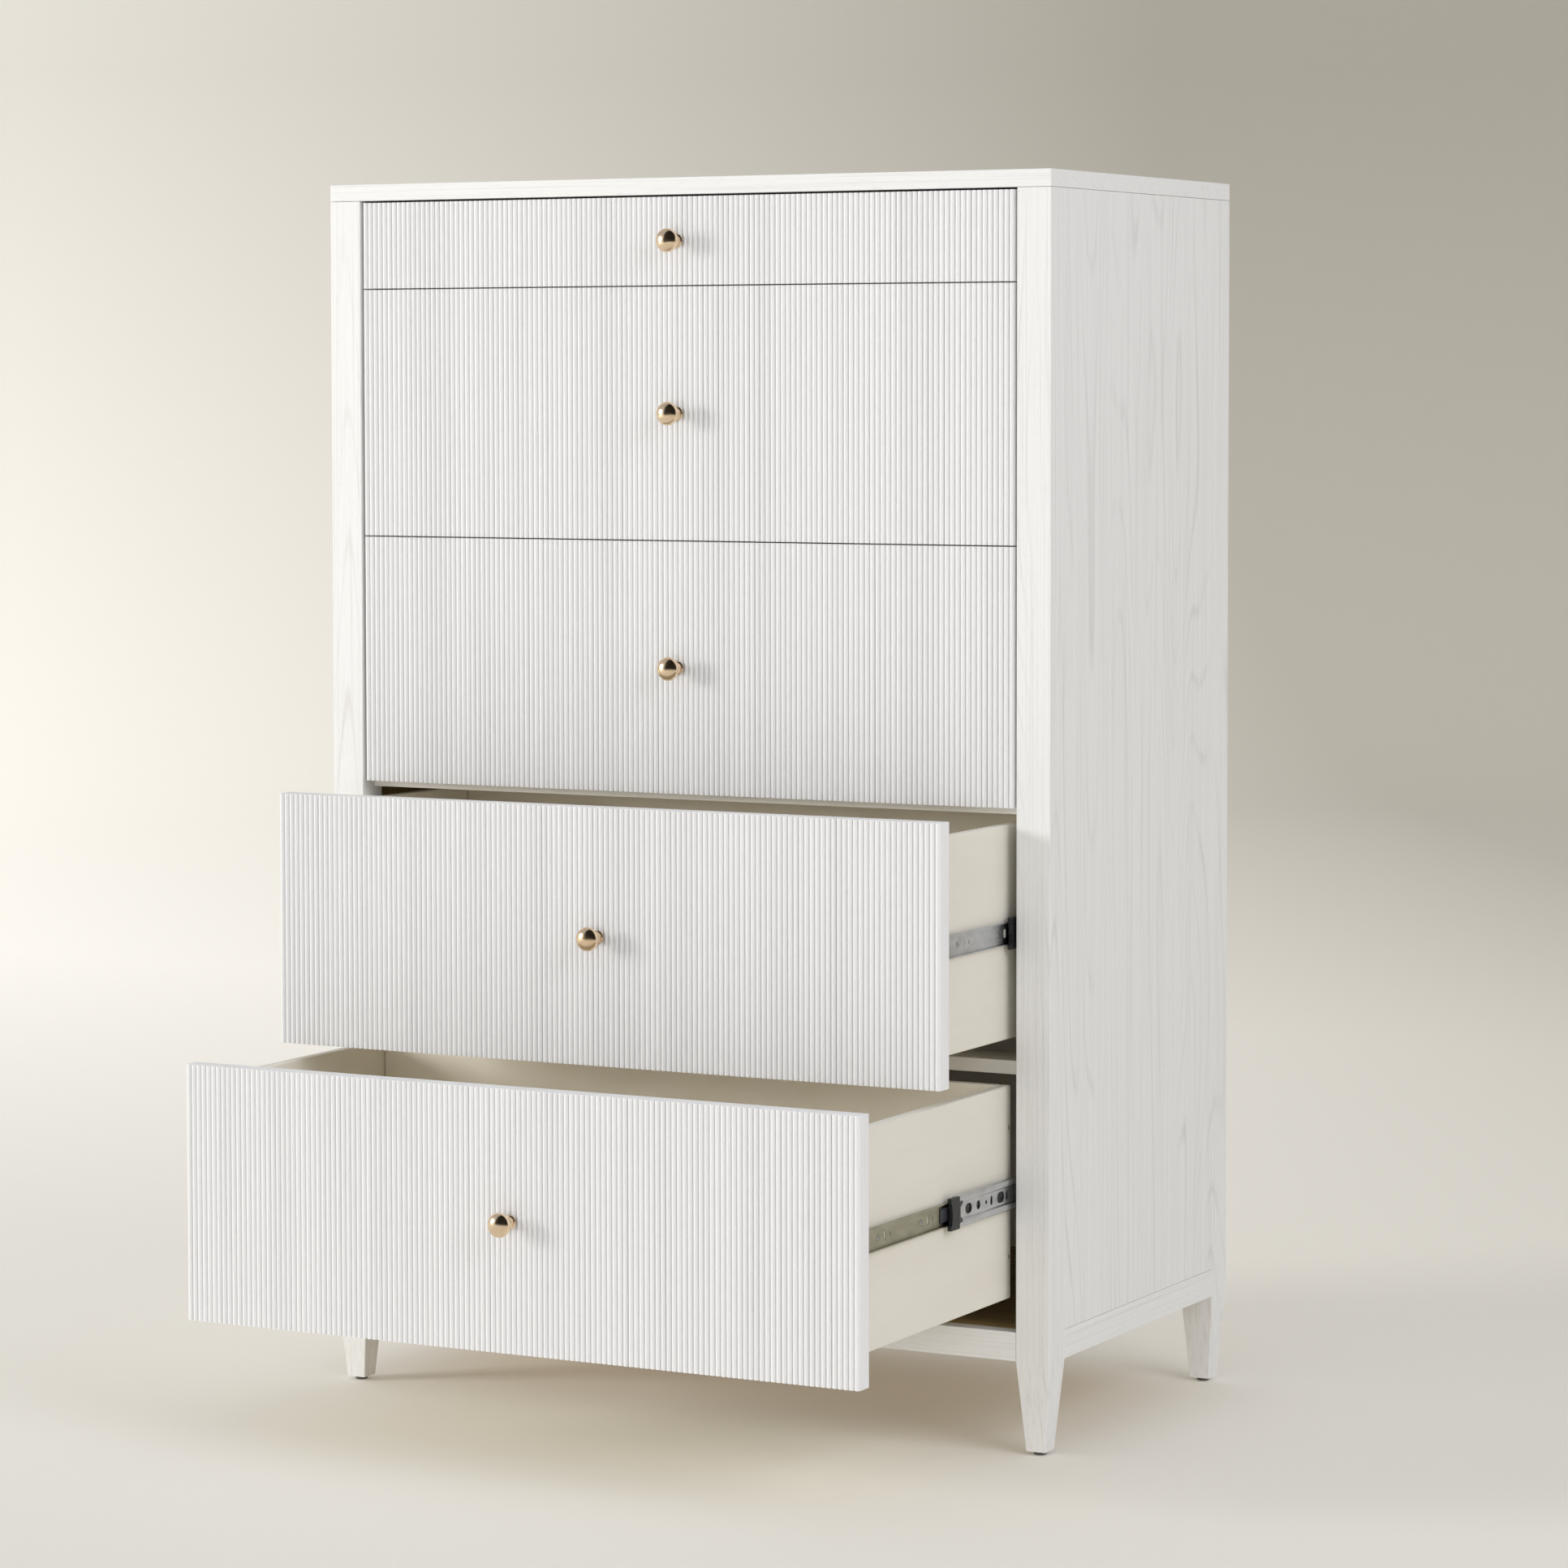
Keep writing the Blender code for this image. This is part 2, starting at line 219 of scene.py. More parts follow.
def new_tree(name, *inputs):
    """A Geometry Nodes tree with a geometry in and out, and the inputs given as (name, type)."""
    tree = bpy.data.node_groups.new(name, "GeometryNodeTree")
    tree.interface.new_socket("Geometry", in_out="OUTPUT", socket_type="NodeSocketGeometry")
    tree.interface.new_socket("Geometry", in_out="INPUT", socket_type="NodeSocketGeometry")
    for label, kind in inputs:
        tree.interface.new_socket(label, in_out="INPUT", socket_type="NodeSocket" + kind)
    return tree, tree.nodes.new("NodeGroupInput").outputs


def end_tree(tree, geometry, finish):
    """Ends a tree in Realize Instances and Set Material."""
    real = add_node(tree, "GeometryNodeRealizeInstances", {"Geometry": geometry})
    painted = add_node(tree, "GeometryNodeSetMaterial", {"Geometry": real.outputs[0], "Material": finish})
    add_node(tree, "NodeGroupOutput", {"Geometry": painted.outputs[0]})
    return tree


# ---------------------------------------------------------------------------
# Settings


COLOUR = {"subtype": "COLOR", "size": 4, "min": 0.0, "max": 1.0}


class ChestWoodSettings(bpy.types.PropertyGroup):
    """Paint, lacquer and edges of the wooden pieces."""

    edge: FloatProperty(
        name="Edge", description="How far the edges of painted boards are eased",
        default=0.7 * MM, unit="LENGTH")
    box_edge: FloatProperty(
        name="Box edge", description="How far the edges of the drawer boxes are rounded",
        default=2.0 * MM, unit="LENGTH")
    paint: FloatVectorProperty(
        name="Paint", description="White paint", default=linear("#EFEFEE"), **COLOUR)
    grain: FloatVectorProperty(
        name="Grain", description="Grain that shows through the paint", default=linear("#C4BFBE"), **COLOUR)
    reeds: FloatVectorProperty(
        name="Reeds", description="Paint on the reeds", default=linear("#F1F1F2"), **COLOUR)
    deep_reeds: FloatVectorProperty(
        name="Deep reeds", description="Paint on deeper strips of reeds", default=linear("#DEDEE0"), **COLOUR)
    lacquer: FloatVectorProperty(
        name="Lacquer", description="Cream lacquer outside the boxes", default=linear("#EAE6DA"), **COLOUR)
    lacquer_clouds: FloatVectorProperty(
        name="Lacquer clouds", description="Its deeper tone", default=linear("#E1DBCC"), **COLOUR)
    # Painted light: the dividers' cream, pushed nearly white to lift the shade in the gaps between the
    # fronts.
    divider: FloatVectorProperty(
        name="Dividers", description="Primer on the dividers", default=linear("#FBF9F3"), **COLOUR)
    divider_clouds: FloatVectorProperty(
        name="Divider clouds", description="Its deeper tone", default=linear("#F4F0E6"), **COLOUR)
    # Painted light: the lacquer's colour inside the boxes, warmer and brighter for bounced light.
    inside: FloatVectorProperty(
        name="Inside", description="Warm lacquer inside the boxes", default=linear("#FCF6E8"), **COLOUR)
    inside_clouds: FloatVectorProperty(
        name="Inside clouds", description="Its deeper tone", default=linear("#F7ECD6"), **COLOUR)
    raw: FloatVectorProperty(
        name="Raw wood", description="Unpainted wood inside the chest", default=linear("#C3A976"), **COLOUR)
    raw_lines: FloatVectorProperty(
        name="Raw lines", description="Growth lines in it", default=linear("#A98A55"), **COLOUR)


class ChestReedSettings(bpy.types.PropertyGroup):
    """The reeds on the drawer fronts."""

    reach: FloatProperty(
        name="Reach", description="How far a front goes into the gap above it and the gap below it",
        default=0.85 * MM, unit="LENGTH")
    count: IntProperty(name="Reeds", description="Reeds across one front", default=128)
    points: IntProperty(name="Points", description="Points round one reed", default=10)
    depth: FloatProperty(
        name="Depth", description="How deep the valleys between reeds go",
        default=3.1 * MM, unit="LENGTH")
    groove: FloatProperty(
        name="Groove", description="Share of the spacing that the flat floor of a valley takes",
        default=0.15)
    joint: FloatProperty(
        name="Joint", description="How much deeper the valley is where two strips of reeds meet",
        default=2.0 * MM, unit="LENGTH")


class ChestRunnerSettings(bpy.types.PropertyGroup):
    """The ball-bearing runners."""

    steel: FloatProperty(
        name="Steel", description="Thickness of the rolled steel", default=1.2 * MM, unit="LENGTH")
    clip: FloatProperty(
        name="Clip", description="Length of the plastic clip on a middle member's front end",
        default=21 * MM, unit="LENGTH")
    ball: FloatProperty(name="Ball", description="Radius of the inner balls", default=1.4 * MM, unit="LENGTH")
    zinc: FloatVectorProperty(
        name="Zinc", description="Zinc plating", default=linear("#DCDEE2"), **COLOUR)
    zinc_clouds: FloatVectorProperty(
        name="Zinc clouds", description="Its deeper tone", default=linear("#C4C6C9"), **COLOUR)
    # An olive grey that only the lowest drawer's inner members take.
    olive: FloatVectorProperty(
        name="Olive", description="Passivated zinc on the lowest pair", default=linear("#B9B6A4"), **COLOUR)
    olive_clouds: FloatVectorProperty(
        name="Olive clouds", description="Its deeper tone", default=linear("#A5A290"), **COLOUR)


class ChestKnobSettings(bpy.types.PropertyGroup):
    """The turned ball knobs."""

    steps: IntProperty(name="Steps", description="Faces round a knob", default=64)
    brass: FloatVectorProperty(
        name="Brass", description="Champagne brass", default=linear("#EFDAC0"), **COLOUR)
    brass_marks: FloatVectorProperty(
        name="Brass marks", description="Its deeper tone", default=linear("#E4C9A6"), **COLOUR)


class ChestStudioSettings(bpy.types.PropertyGroup):
    """Floor, lights and camera."""

    floor: FloatVectorProperty(
        name="Floor", description="Pale floor", default=linear("#F5F2EA"), **COLOUR)
    # Painted shade: the paper's colour on its side away from the key lamp.
    painted_shade_floor: FloatVectorProperty(
        name="Dusk", description="The floor's tone on its darker side", default=linear("#E3DED1"), **COLOUR)
    # Painted light: how strongly the paper glows by itself, though it is no lamp.
    painted_glow: FloatProperty(name="Glow", description="How far the paper is lit up on its lit side", default=0.42)
    key: FloatProperty(name="Key", description="Power of the key light in watts", default=348.0)
    fill: FloatProperty(name="Fill", description="Power of the fill light in watts", default=75.0)
    low: FloatProperty(name="Low light", description="Power of the low front light in watts", default=48.0)
    sky: FloatProperty(name="Sky", description="Strength of the light all round", default=0.53)
    key_at: FloatVectorProperty(
        name="Key place", description="Where the key light hangs", default=(-6.8, -4.85, 2.3),
        subtype="TRANSLATION")
    lit_to: FloatProperty(
        name="Lit to", description="Where the paper starts to darken, measured away from the key light",
        default=-1.0, unit="LENGTH")
    deep_from: FloatProperty(
        name="Deep from", description="Where the paper has its deepest tone, measured the same way",
        default=2.8, unit="LENGTH")
    eye: FloatVectorProperty(
        name="Camera", description="Where the camera stands", default=(2.6698, -4.81385, 1.1639),
        subtype="TRANSLATION")
    turn: FloatProperty(
        name="Turn", description="The camera's turn to the left", default=0.4888, unit="ROTATION")
    tilt: FloatProperty(
        name="Tilt", description="How far it looks down", default=0.0547, unit="ROTATION")
    roll: FloatProperty(name="Roll", description="Its roll", default=-0.0014, unit="ROTATION")
    lens: FloatProperty(name="Lens", description="Focal length on a 36 mm sensor", default=112.77)
    shift: FloatProperty(name="Shift", description="How far the view is cropped off centre", default=-0.0859)


SETTINGS = (
    ("chest_wood", ChestWoodSettings),
    ("chest_reeds", ChestReedSettings),
    ("chest_runners", ChestRunnerSettings),
    ("chest_knobs", ChestKnobSettings),
    ("chest_studio", ChestStudioSettings),
)


# ---------------------------------------------------------------------------
# Finishes


def marks_of_size(tree, coords, size, spread, detail):
    """Marks as large as the size in millimetres on each axis. The spread is (low, high, start, end)."""
    scaled = add_node(tree, "ShaderNodeMapping", {"Vector": coords, "Scale": [1 / (s * MM) for s in size]})
    grains = add_node(tree, "ShaderNodeTexNoise", {"Vector": scaled, "Scale": 1.0, "Detail": detail})
    names = ("From Min", "From Max", "To Min", "To Max")
    return add_node(tree, "ShaderNodeMapRange", {"Value": grains, **dict(zip(names, spread))})


def flat_sawn_arches(tree, coords, size, drift, strength):
    """The nested arches of flat-sawn boards: level lines of one long smooth field, stronger in patches."""
    field = marks_of_size(tree, coords, size, (0.0, 1.0, 0.0, 44.0), 1.0)
    rings = add_node(tree, "ShaderNodeMath", {0: field, 1: 1.0}, operation="PINGPONG")
    thin = add_node(tree, "ShaderNodeMapRange", {"Value": rings, "From Min": 0.26, "From Max": 0.0})
    patches = marks_of_size(tree, coords, drift, (0.42, 0.66, 0.1 * strength, strength), 2.0)
    return add_node(tree, "ShaderNodeMath", {0: thin, 1: patches}, operation="MULTIPLY")


def new_finish(name, tones, marks, rough, relief=0.0, metallic=0.0, arches=None):
    """A material of two tones, the second where its marks are.

    Marks are sunk by the relief. The first roughness is for plain places and the second for marks.
    """
    finish = bpy.data.materials.new(name)
    finish.use_nodes = True
    tree = finish.node_tree
    shader = tree.nodes["Principled BSDF"]
    coords = add_node(tree, "ShaderNodeTexCoord").outputs["Object"]
    layers = [marks_of_size(tree, coords, *mark) for mark in marks]
    if arches:
        layers.append(flat_sawn_arches(tree, coords, *arches))
    share = layers[0]
    for layer in layers[1:]:
        share = add_node(tree, "ShaderNodeMath", {0: share, 1: layer}, operation="ADD")
    toned = add_node(
        tree, "ShaderNodeMix", {"Factor": share, 6: tones[0], 7: tones[1]}, data_type="RGBA")
    tree.links.new(toned.outputs[2], shader.inputs["Base Color"])
    worn = add_node(tree, "ShaderNodeMapRange", {"Value": share, "To Min": rough[0], "To Max": rough[1]})
    tree.links.new(worn.outputs[0], shader.inputs["Roughness"])
    shader.inputs["Metallic"].default_value = metallic
    if relief:
        sunk = add_node(
            tree, "ShaderNodeBump", {"Height": share, "Distance": relief, "Strength": 0.3}, invert=True)
        tree.links.new(sunk.outputs[0], shader.inputs["Normal"])
    return finish


def along_grain(axis, length, width):
    """A size for each axis: long on the grain's axis, short on the other two."""
    return [length if i == axis else width for i in range(3)]


def painted_ash(name, axis, wood):
    """White paint sprayed thin over open-grained ash: even and satin, with its grain as faint grey lines."""
    marks = (
        (along_grain(axis, 340, 2.2), (0.5, 0.72, 0.0, 0.3), 4.0),
        # Pores are 0.2 mm wide in ash, and are drawn four times as wide so that they show.
        (along_grain(axis, 16, 0.8), (0.6, 0.72, 0.0, 0.22), 2.0),
    )
    arches = (along_grain(axis, 1300, 120), along_grain(axis, 700, 38), 0.34) if axis == 2 else None
    return new_finish(name, (wood.paint, wood.grain), marks, (0.5, 0.62), 0.1 * MM, arches=arches)


def painted_reeds(name, wood):
    """White paint sprayed on half-round moulding: clean and satin, strip by strip a shade deeper."""
    marks = (
        ((34, 400, 3000), (0.45, 0.7, 0.0, 0.22), 1.0),
        ((1.6, 40, 260), (0.5, 0.8, 0.0, 0.2), 2.0),
    )
    return new_finish(name, (wood.reeds, wood.deep_reeds), marks, (0.46, 0.56))


def lacquered_birch(name, tones):
    """Cream lacquer rolled on birch: smooth and satin, with soft cloudy tone and hardly any grain."""
    marks = (
        ((60, 180, 40), (0.4, 0.7, 0.0, 0.35), 3.0),
        ((2, 70, 2), (0.5, 0.8, 0.0, 0.2), 3.0),
    )
    return new_finish(name, tones, marks, (0.42, 0.52), 0.05 * MM)


def raw_pine(name, axis, wood):
    """Planed pine with no finish: dry and matt, with warm growth lines along the board."""
    marks = (
        (along_grain(axis, 300, 6), (0.45, 0.75, 0.0, 0.6), 4.0),
        (along_grain(axis, 60, 1.2), (0.5, 0.8, 0.0, 0.3), 3.0),
    )
    return new_finish(name, (wood.raw, wood.raw_lines), marks, (0.62, 0.78), 0.1 * MM)


def zinc_plated_steel(name, tones):
    """Cold-rolled steel with zinc: grey, half glossy, with faint rolling lines and cloudy plating."""
    marks = (
        ((9, 22, 9), (0.35, 0.7, 0.0, 0.6), 3.0),
        ((1.5, 90, 0.8), (0.4, 0.8, 0.0, 0.4), 3.0),
    )
    return new_finish(name, tones, marks, (0.28, 0.42), 0.04 * MM, metallic=1.0)


def polished_brass(name, knobs):
    """Turned and polished brass in a pale champagne tone: mirror-like, with hair-fine polishing marks."""
    marks = (
        ((12, 12, 12), (0.3, 0.7, 0.0, 0.7), 2.0),
        ((6, 0.7, 0.7), (0.3, 0.7, 0.0, 0.3), 2.0),
    )
    return new_finish(name, (knobs.brass, knobs.brass_marks), marks, (0.15, 0.25), metallic=1.0)


def moulded_nylon(name, tones, rough):
    """Injection-moulded nylon: satin and near black, with the faint pebble of its mould."""
    marks = (((0.9, 0.9, 0.9), (0.3, 0.7, 0.0, 1.0), 2.0),)
    return new_finish(name, tones, marks, (rough, rough + 0.1), 0.05 * MM)


def seamless_paper(name, studio):
    """Matt studio paper: even and dull, with painted light and shade: it glows behind the chest on one side,
    and is painted a tone deeper on the other side and higher up.
    """
    finish = bpy.data.materials.new(name)
    finish.use_nodes = True
    tree = finish.node_tree
    shader = tree.nodes["Principled BSDF"]
    coords = add_node(tree, "ShaderNodeTexCoord").outputs["Object"]
    # Everything is measured in the room: away from the key lamp, towards the back and upwards.
    from_key = -Vector((studio.key_at[0], studio.key_at[1], 0.0)).normalized()
    beyond, back, height = [
        add_node(tree, "ShaderNodeVectorMath", {0: coords, 1: way}, operation="DOT_PRODUCT").outputs[1]
        for way in (from_key, Vector((0.0, 1.0, 0.0)), Vector((0.0, 0.0, 1.0)))]
    reach = {"From Min": studio.lit_to, "From Max": studio.deep_from}
    # Painted shade: the paper's colour turns from the floor tone to the darker one away from the key lamp.
    tone = add_node(tree, "ShaderNodeMapRange", {"Value": beyond, **reach})
    paper = add_node(
        tree, "ShaderNodeMix",
        {"Factor": tone, 6: studio.floor, 7: studio.painted_shade_floor}, data_type="RGBA")
    # Painted shade: the paper's colour darkens by a quarter up to 2.2 m, where the lamps no longer reach.
    painted_height_shade = add_node(
        tree, "ShaderNodeMapRange", {"Value": height, "From Max": 2.2, "To Min": 1.0, "To Max": 0.75})
    shaded = add_node(
        tree, "ShaderNodeMix",
        {"Factor": painted_height_shade, 6: linear("#000000"), 7: paper.outputs[2]}, data_type="RGBA")
    tree.links.new(shaded.outputs[2], shader.inputs["Base Color"])
    # Painted light: the paper emits light, most on the key lamp's side and towards the back, less higher up.
    fall = {"To Min": studio.painted_glow, "To Max": 0.1 * studio.painted_glow}
    painted_glow = add_node(tree, "ShaderNodeMapRange", {"Value": tone, **fall})
    behind = add_node(tree, "ShaderNodeMapRange", {"Value": back, "From Min": -1.0, "From Max": 3.25})
    for part in (painted_height_shade, behind):
        painted_glow = add_node(tree, "ShaderNodeMath", {0: painted_glow, 1: part}, operation="MULTIPLY")
    tree.links.new(painted_glow.outputs[0], shader.inputs["Emission Strength"])
    shader.inputs["Emission Color"].default_value = linear("#FFFBF3")
    shader.inputs["Roughness"].default_value = 0.9
    shader.inputs["Specular IOR Level"].default_value = 0.1
    return finish


def finish_named(name):
    """Each finish is made once, when the first piece asks for it."""
    found = bpy.data.materials.get(name)
    if found:
        return found
    scene = bpy.context.scene
    wood = scene.chest_wood
    runners = scene.chest_runners
    makers = {
        "sprayed_white_reeds": lambda: painted_reeds(name, wood),
        "lacquered_cream_birch": lambda: lacquered_birch(name, (wood.lacquer, wood.lacquer_clouds)),
        # Painted light: the insides are the same lacquer as the outsides, painted a shade warmer and brighter
        # for the light bounced round inside the boxes.
        "birch_lacquer_painted_bounce": lambda: lacquered_birch(name, (wood.inside, wood.inside_clouds)),
        # The dividers are cream, and their colour is painted nearly white as painted light, so that the
        # shaded gaps between the fronts aren't black.
        "cream_birch_painted_lighter": lambda: lacquered_birch(name, (wood.divider, wood.divider_clouds)),
        "zinc_plated_runner_steel": lambda: zinc_plated_steel(name, (runners.zinc, runners.zinc_clouds)),
        # The lowest drawer's inner members are a dull olive instead of the zinc's grey.
        "olive_grey_runner_steel": lambda: zinc_plated_steel(name, (runners.olive, runners.olive_clouds)),
        "zinc_plated_balls": lambda: zinc_plated_steel(name, (linear("#D5D6D8"), linear("#C2C3C6"))),
        "polished_champagne_brass": lambda: polished_brass(name, scene.chest_knobs),
        "moulded_black_nylon": lambda: moulded_nylon(name, (linear("#17181A"), linear("#25272A")), 0.36),
        "moulded_grey_nylon": lambda: moulded_nylon(name, (linear("#33353A"), linear("#44474D")), 0.34),
        # The glides are browner and duller than the clips.
        "moulded_glide_nylon": lambda: moulded_nylon(name, (linear("#4E4B48"), linear("#615D59")), 0.44),
        # Cloth drinks nearly all the light, and is seen in the knobs only.
        "black_studio_cloth": lambda: moulded_nylon(name, (linear("#0E0D0C"), linear("#161513")), 0.84),
    }
    for axis, word in enumerate(("across", "deep", "upright")):
        makers["sprayed_white_ash_" + word] = lambda axis=axis: painted_ash(name, axis, wood)
        makers["planed_pine_" + word] = lambda axis=axis: raw_pine(name, axis, wood)
    return makers[name]()


# ---------------------------------------------------------------------------
# Carcass


# A leg's width at its foot, and where it starts above the floor
FOOT = 23 * MM
FOOT_LEVEL = 4 * MM
GLIDE_RADIUS = 7 * MM
GLIDE_TOP = 4.4 * MM
SIDE_THICKNESS = 16 * MM
BATTEN_WIDTH = 40 * MM
# The batten ends this far short of the runner's rear end.
BATTEN_SHORT = 5 * MM
BACK_THICKNESS = 9 * MM
FLOOR_THICKNESS = 12 * MM
# Room left round the posts so that a board drops in
POST_ROOM = 0.3 * MM
BACK_ROOM = 0.2 * MM


def post_mesh(name, low, high, edge):
    """A square post whose leg tapers evenly on all four faces."""
    rail_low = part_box("front_rail")[0].z
    middle = (low + high) / 2
    half = (high.x - low.x) / 2
    levels = ((high.z, half), (rail_low, half), (FOOT_LEVEL, FOOT / 2))
    corners = ((-1, -1), (1, -1), (1, 1), (-1, 1))
    work = bmesh.new()
    rings = []
    for z, reach in levels:
        points = [(middle.x + cx * reach, middle.y + cy * reach, z) for cx, cy in corners]
        rings.append([work.verts.new(point) for point in points])
    for upper, lower in zip(rings, rings[1:]):
        for i in range(4):
            j = (i + 1) % 4
            work.faces.new((upper[i], upper[j], lower[j], lower[i]))
    work.faces.new(rings[0])
    work.faces.new(rings[-1])
    sharp = [e for e in work.edges if not (e.verts[0] in rings[1] and e.verts[1] in rings[1])]
    bmesh.ops.bevel(work, geom=sharp, offset=edge, segments=2, profile=0.5, affect="EDGES")
    return finish_mesh(name, work)


def glide_mesh(name, x, y):
    """A round glide nailed under a leg, with its rim rounded."""
    radius = GLIDE_RADIUS
    top = GLIDE_TOP
    profile = [(0.0, 0.0), (radius - 1.2 * MM, 0.0), (radius - 0.3 * MM, 0.4 * MM), (radius, 1.3 * MM)]
    profile += [(radius, top - 0.6 * MM), (radius - 0.4 * MM, top), (0.0, top)]
    return smooth(turned(name, profile, (x, y, 0.0), (0, 0, 1), 32))


class CHEST_OT_posts(bpy.types.Operator):
    """Build the four posts with their tapered legs and glides"""

    bl_idname = "chest.posts"
    bl_label = "Posts"

    def execute(self, context):
        edge = context.scene.chest_wood.edge
        upright = finish_named("sprayed_white_ash_upright")
        nylon = finish_named("moulded_glide_nylon")
        for word, _ in SIDES:
            for place in ("front", "rear"):
                node = f"post_{place}_{word}"
                low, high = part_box(node)
                mesh = post_mesh(node, low, high, edge)
                add_piece(f"{place}_{word}_post", mesh, upright, "carcass", "white_wood", node)
                middle = (low + high) / 2
                name = f"{place}_{word}_glide"
                add_piece(name, glide_mesh(name, middle.x, middle.y), nylon, "carcass", "white_wood")
        return {"FINISHED"}


class CHEST_OT_carcass(bpy.types.Operator):
    """Build the top, panels, aprons, dividers, floor and back"""

    bl_idname = "chest.carcass"
    bl_label = "Carcass"

    def execute(self, context):
        edge = context.scene.chest_wood.edge
        across = finish_named("sprayed_white_ash_across")
        deep = finish_named("sprayed_white_ash_deep")
        lightened_divider_finish = finish_named("cream_birch_painted_lighter")
        boards = [
            ("top_board", "top_panel", across, "white_wood"),
            ("front_apron", "front_rail", across, "white_wood"),
        ]
        boards += [(word + "_side_apron", "side_rail_" + word, deep, "white_wood") for word, _ in SIDES]
        # The dividers take the cream finish lightened as painted light.
        boards += [(f"divider_{k}_board", f"divider_{k}", lightened_divider_finish, "tan_wood") for k in DRAWERS[:-1]]
        for name, node, finish, slot in boards:
            low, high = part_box(node)
            add_piece(name, board(name, low, high, edge), finish, "carcass", slot, node)
        for word, side in SIDES:
            self.side_panel(word, side, edge)
        self.floor_and_back(edge)
        return {"FINISHED"}

    def side_panel(self, word, side, edge):
        """The panel, painted outside and raw inside, and the batten that the runners are screwed to."""
        upright = finish_named("sprayed_white_ash_upright")
        node = "side_panel_" + word
        low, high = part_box(node)
        inner = side * (max(abs(low.x), abs(high.x)) - SIDE_THICKNESS)
        outer = low.x if side < 0 else high.x
        corners = sorted((inner, outer))
        mesh = board(node, (corners[0], low.y, low.z), (corners[1], high.y, high.z), edge)
        mesh.materials.append(upright)
        mesh.materials.append(finish_named("planed_pine_upright"))
        for face in mesh.polygons:
            face.material_index = 1 if face.normal.x * side < -0.9 else 0
        add_piece(word + "_side_board", mesh, upright, "carcass", "white_wood", node)
        runner_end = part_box(f"outer_runner_1_{word}")[1].y
        batten_end = runner_end - BATTEN_SHORT
        edges = sorted((side * min(abs(low.x), abs(high.x)), inner))
        name = word + "_batten"
        mesh = board(
            name,
            (edges[0], batten_end - BATTEN_WIDTH, low.z),
            (edges[1], batten_end, high.z),
            edge)
        add_piece(name, mesh, finish_named("planed_pine_upright"), "carcass", "tan_wood")

    def floor_and_back(self, edge):
        """The floor board, notched round the posts, and the back panel let in between the rear posts."""
        pine = finish_named("planed_pine_across")
        low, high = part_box("back_and_floor")
        rail_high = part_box("front_rail")[1]
        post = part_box("post_front_right")
        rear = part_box("post_rear_right")
        back_start = high.y - BACK_THICKNESS
        narrow = post[0].x - POST_ROOM
        wide = high.x
        near = post[1].y + POST_ROOM
        far = rear[0].y - POST_ROOM
        right = [(narrow, low.y), (narrow, near), (wide, near), (wide, far), (narrow, far)]
        right.append((narrow, back_start - BACK_ROOM))
        outline = right + [(-x, y) for x, y in reversed(right)]
        floor = extrusion("floor_board", outline, 2, rail_high.z - FLOOR_THICKNESS, rail_high.z)
        add_piece("floor_board", floor, pine, "carcass", "tan_wood", "back_and_floor")
        back = board("back_board", (-narrow, back_start, low.z), (narrow, high.y, high.z), edge)
        cream = finish_named("lacquered_cream_birch")
        add_piece("back_board", back, cream, "carcass", "cream_wood", "back_and_floor")


# ---------------------------------------------------------------------------
# Drawers


# The steps that place each point of a front's outline, as (name, operation, first, second).
REED_PLACE = (
    ("last", "MULTIPLY", "Reeds", "Points"),
    ("turn", "DIVIDE", "index", "Points"),
    ("nudged", "ADD", "turn", 0.0001),
    ("reed", "FLOOR", "nudged", 0.0),
    ("part", "SUBTRACT", "turn", "reed"),
    ("arcs", "SUBTRACT", "Points", 1.0),
    ("spread", "DIVIDE", "Points", "arcs"),
    ("round", "MULTIPLY", "part", "spread"),
    ("angle", "MULTIPLY", "round", math.pi),
)
REED_SHAPE = (
    ("cosine", "COSINE", "angle", 0.0),
    ("fall", "SUBTRACT", 1.0, "cosine"),
    ("across", "DIVIDE", "fall", 2.0),
    ("rounded", "SUBTRACT", 1.0, "Groove"),
    ("narrowed", "MULTIPLY", "across", "rounded"),
    ("margin", "DIVIDE", "Groove", 2.0),
    ("in reed", "ADD", "narrowed", "margin"),
    ("reeds", "ADD", "reed", "in reed"),
    ("pitch", "DIVIDE", "Width", "Reeds"),
    ("far", "MULTIPLY", "reeds", "pitch"),
    ("kept", "MINIMUM", "far", "Width"),
    ("begun", "GREATER_THAN", "index", 0.5),
    ("x", "MULTIPLY", "kept", "begun"),
    ("sine", "SINE", "angle", 0.0),
    ("hollow", "SUBTRACT", 1.0, "sine"),
    ("dip", "MULTIPLY", "hollow", "Depth"),
    ("valley", "LESS_THAN", "angle", 0.01),
    # Now and then two strips of reeds meet, and the valley between them is deeper.
    ("meets", "GREATER_THAN", "chance", 0.92),
    ("joint", "MULTIPLY", "meets", "valley"),
    ("deeper", "MULTIPLY", "joint", "Joint"),
    ("y", "ADD", "dip", "deeper"),
    ("end", "ADD", "last", 0.5),
    ("behind", "GREATER_THAN", "index", "end"),
    ("far end", "ADD", "last", 1.5),
    ("corner", "GREATER_THAN", "index", "far end"),
    ("count", "ADD", "last", 3.0),
)


